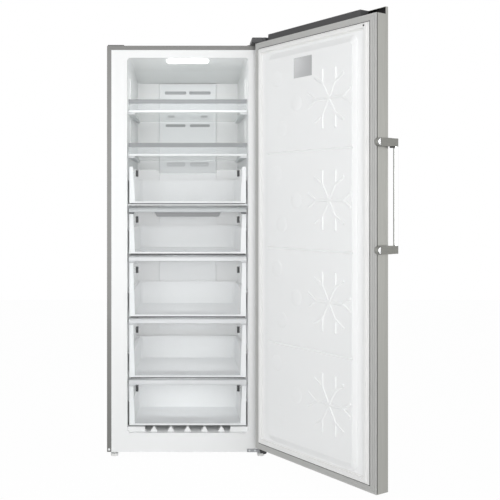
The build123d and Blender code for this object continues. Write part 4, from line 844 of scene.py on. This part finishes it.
# Height over the upper shelf, place to each side, width and height of the outlets.
OUTLETS = [(144.0, 60.0, 106.0, 15.0), (28.0, 81.0, 33.0, 10.0), (-17.0, 60.0, 98.0, 13.0)]
OUTLETS += [(-208.0, 58.0, 92.0, 20.0)]
bm = bmesh.new()
for rise, aside, width, height in OUTLETS:
    z = UPPER_SHELF + rise
    for x in (-aside, aside):
        half_w, half_h = width / 2 + GRILLE_OVERLAP, height / 2 + GRILLE_OVERLAP
        wide = (x - half_w, x + half_w)
        slab(bm, wide, PLATE_Y, (z - half_h, z + half_h), 0.4, 1)
        for level in SLAT_LEVELS:
            slat = slab(bm, wide, SLAT_Y, (z - SLAT_HALF, z + SLAT_HALF), 0.3, 1)
            bmesh.ops.translate(bm, vec=(0, 0, level * height * MM), verts=slat)
fit("outlet_shade_grilles", bm, grille_painted_shade, "cabinet")

# %% [markdown]
# ## Ribs on the side walls
# Upright ribs on the walls keep food off the cold plastic. They are slender blocks with round edges, set a
# little into the drafted wall.

# %% Ribs
RIB_Y = (127.0, 135.0)
RIB_Z = ((1568.0, 1662.0), (1374.0, 1478.0))
RIB_IN = 255.6
RIB_OUT = RIB_IN + 5.0
RIB_ROUND = 2.3
bm = bmesh.new()
for z in RIB_Z:
    slab(bm, (RIB_IN, RIB_OUT), RIB_Y, z, RIB_ROUND, 3)
    slab(bm, (-RIB_OUT, -RIB_IN), RIB_Y, z, RIB_ROUND, 3)
fit("wall_ribs", bm, formed_abs, "cabinet")

# %% [markdown]
# ## Ends of the handle's brackets
# Each bracket ends on the door's inner edge in a polished cap with a dark joint around it. The cap is a disc
# cut straight on one side and raised in two steps. A dark rubber pad under the upper bracket is painted
# shade.

# %% Caps, and a pad of painted shade
BRACKET_FACE = -367.3
CAP_CENTRE_Y = -16.4
CAP_R = 13.4
CAP_CUT = 1.6
JOINT = 1.3
BRACKET_Z = (934.0, 1322.0)


def half_disc(bm, z, radius, cut_y, profile):
    """A disc on the bracket's outer face that ends in a straight edge."""
    face = disc(bm, (BRACKET_FACE, CAP_CENTRE_Y, z), "left", radius, 48)
    geometry = [face, *face.edges, *face.verts]
    cut = {"plane_co": at(0, cut_y, 0), "plane_no": (0, -1, 0), "clear_outer": True}
    bmesh.ops.bisect_plane(bm, geom=geometry, **cut)
    kept = max((face for face in bm.faces if not face.tag), key=lambda face: face.calc_area())
    steps(bm, kept, profile)
    for face in bm.faces:
        face.tag = True


for name, finish, slot, radius, cut_y, profile in (
    ("bracket_joints", rubber, "dark_plastic", CAP_R + JOINT, CAP_CENTRE_Y, [(0.02, 0.35)]),
    ("bracket_caps", bar_chrome, "bar_chrome", CAP_R, CAP_CENTRE_Y + CAP_CUT, [(0.02, 0.7), (0.7, 0.4)]),
):
    bm = bmesh.new()
    for z in BRACKET_Z:
        half_disc(bm, z, radius, cut_y, profile)
    fit(name, bm, finish, "door", OPENED)

SHADOW_PAD_X = (-365.5, -351.0)
SHADOW_PAD_Y = (-89.0, -76.5)
SHADOW_PAD_Z = (1302.5, 1307.6)
bm = bmesh.new()
# Painted shade: a dark pad where shade falls under the upper bracket.
slab(bm, SHADOW_PAD_X, SHADOW_PAD_Y, SHADOW_PAD_Z, 1.2)
fit("bracket_shadow_pad", bm, rubber, "door", OPENED)
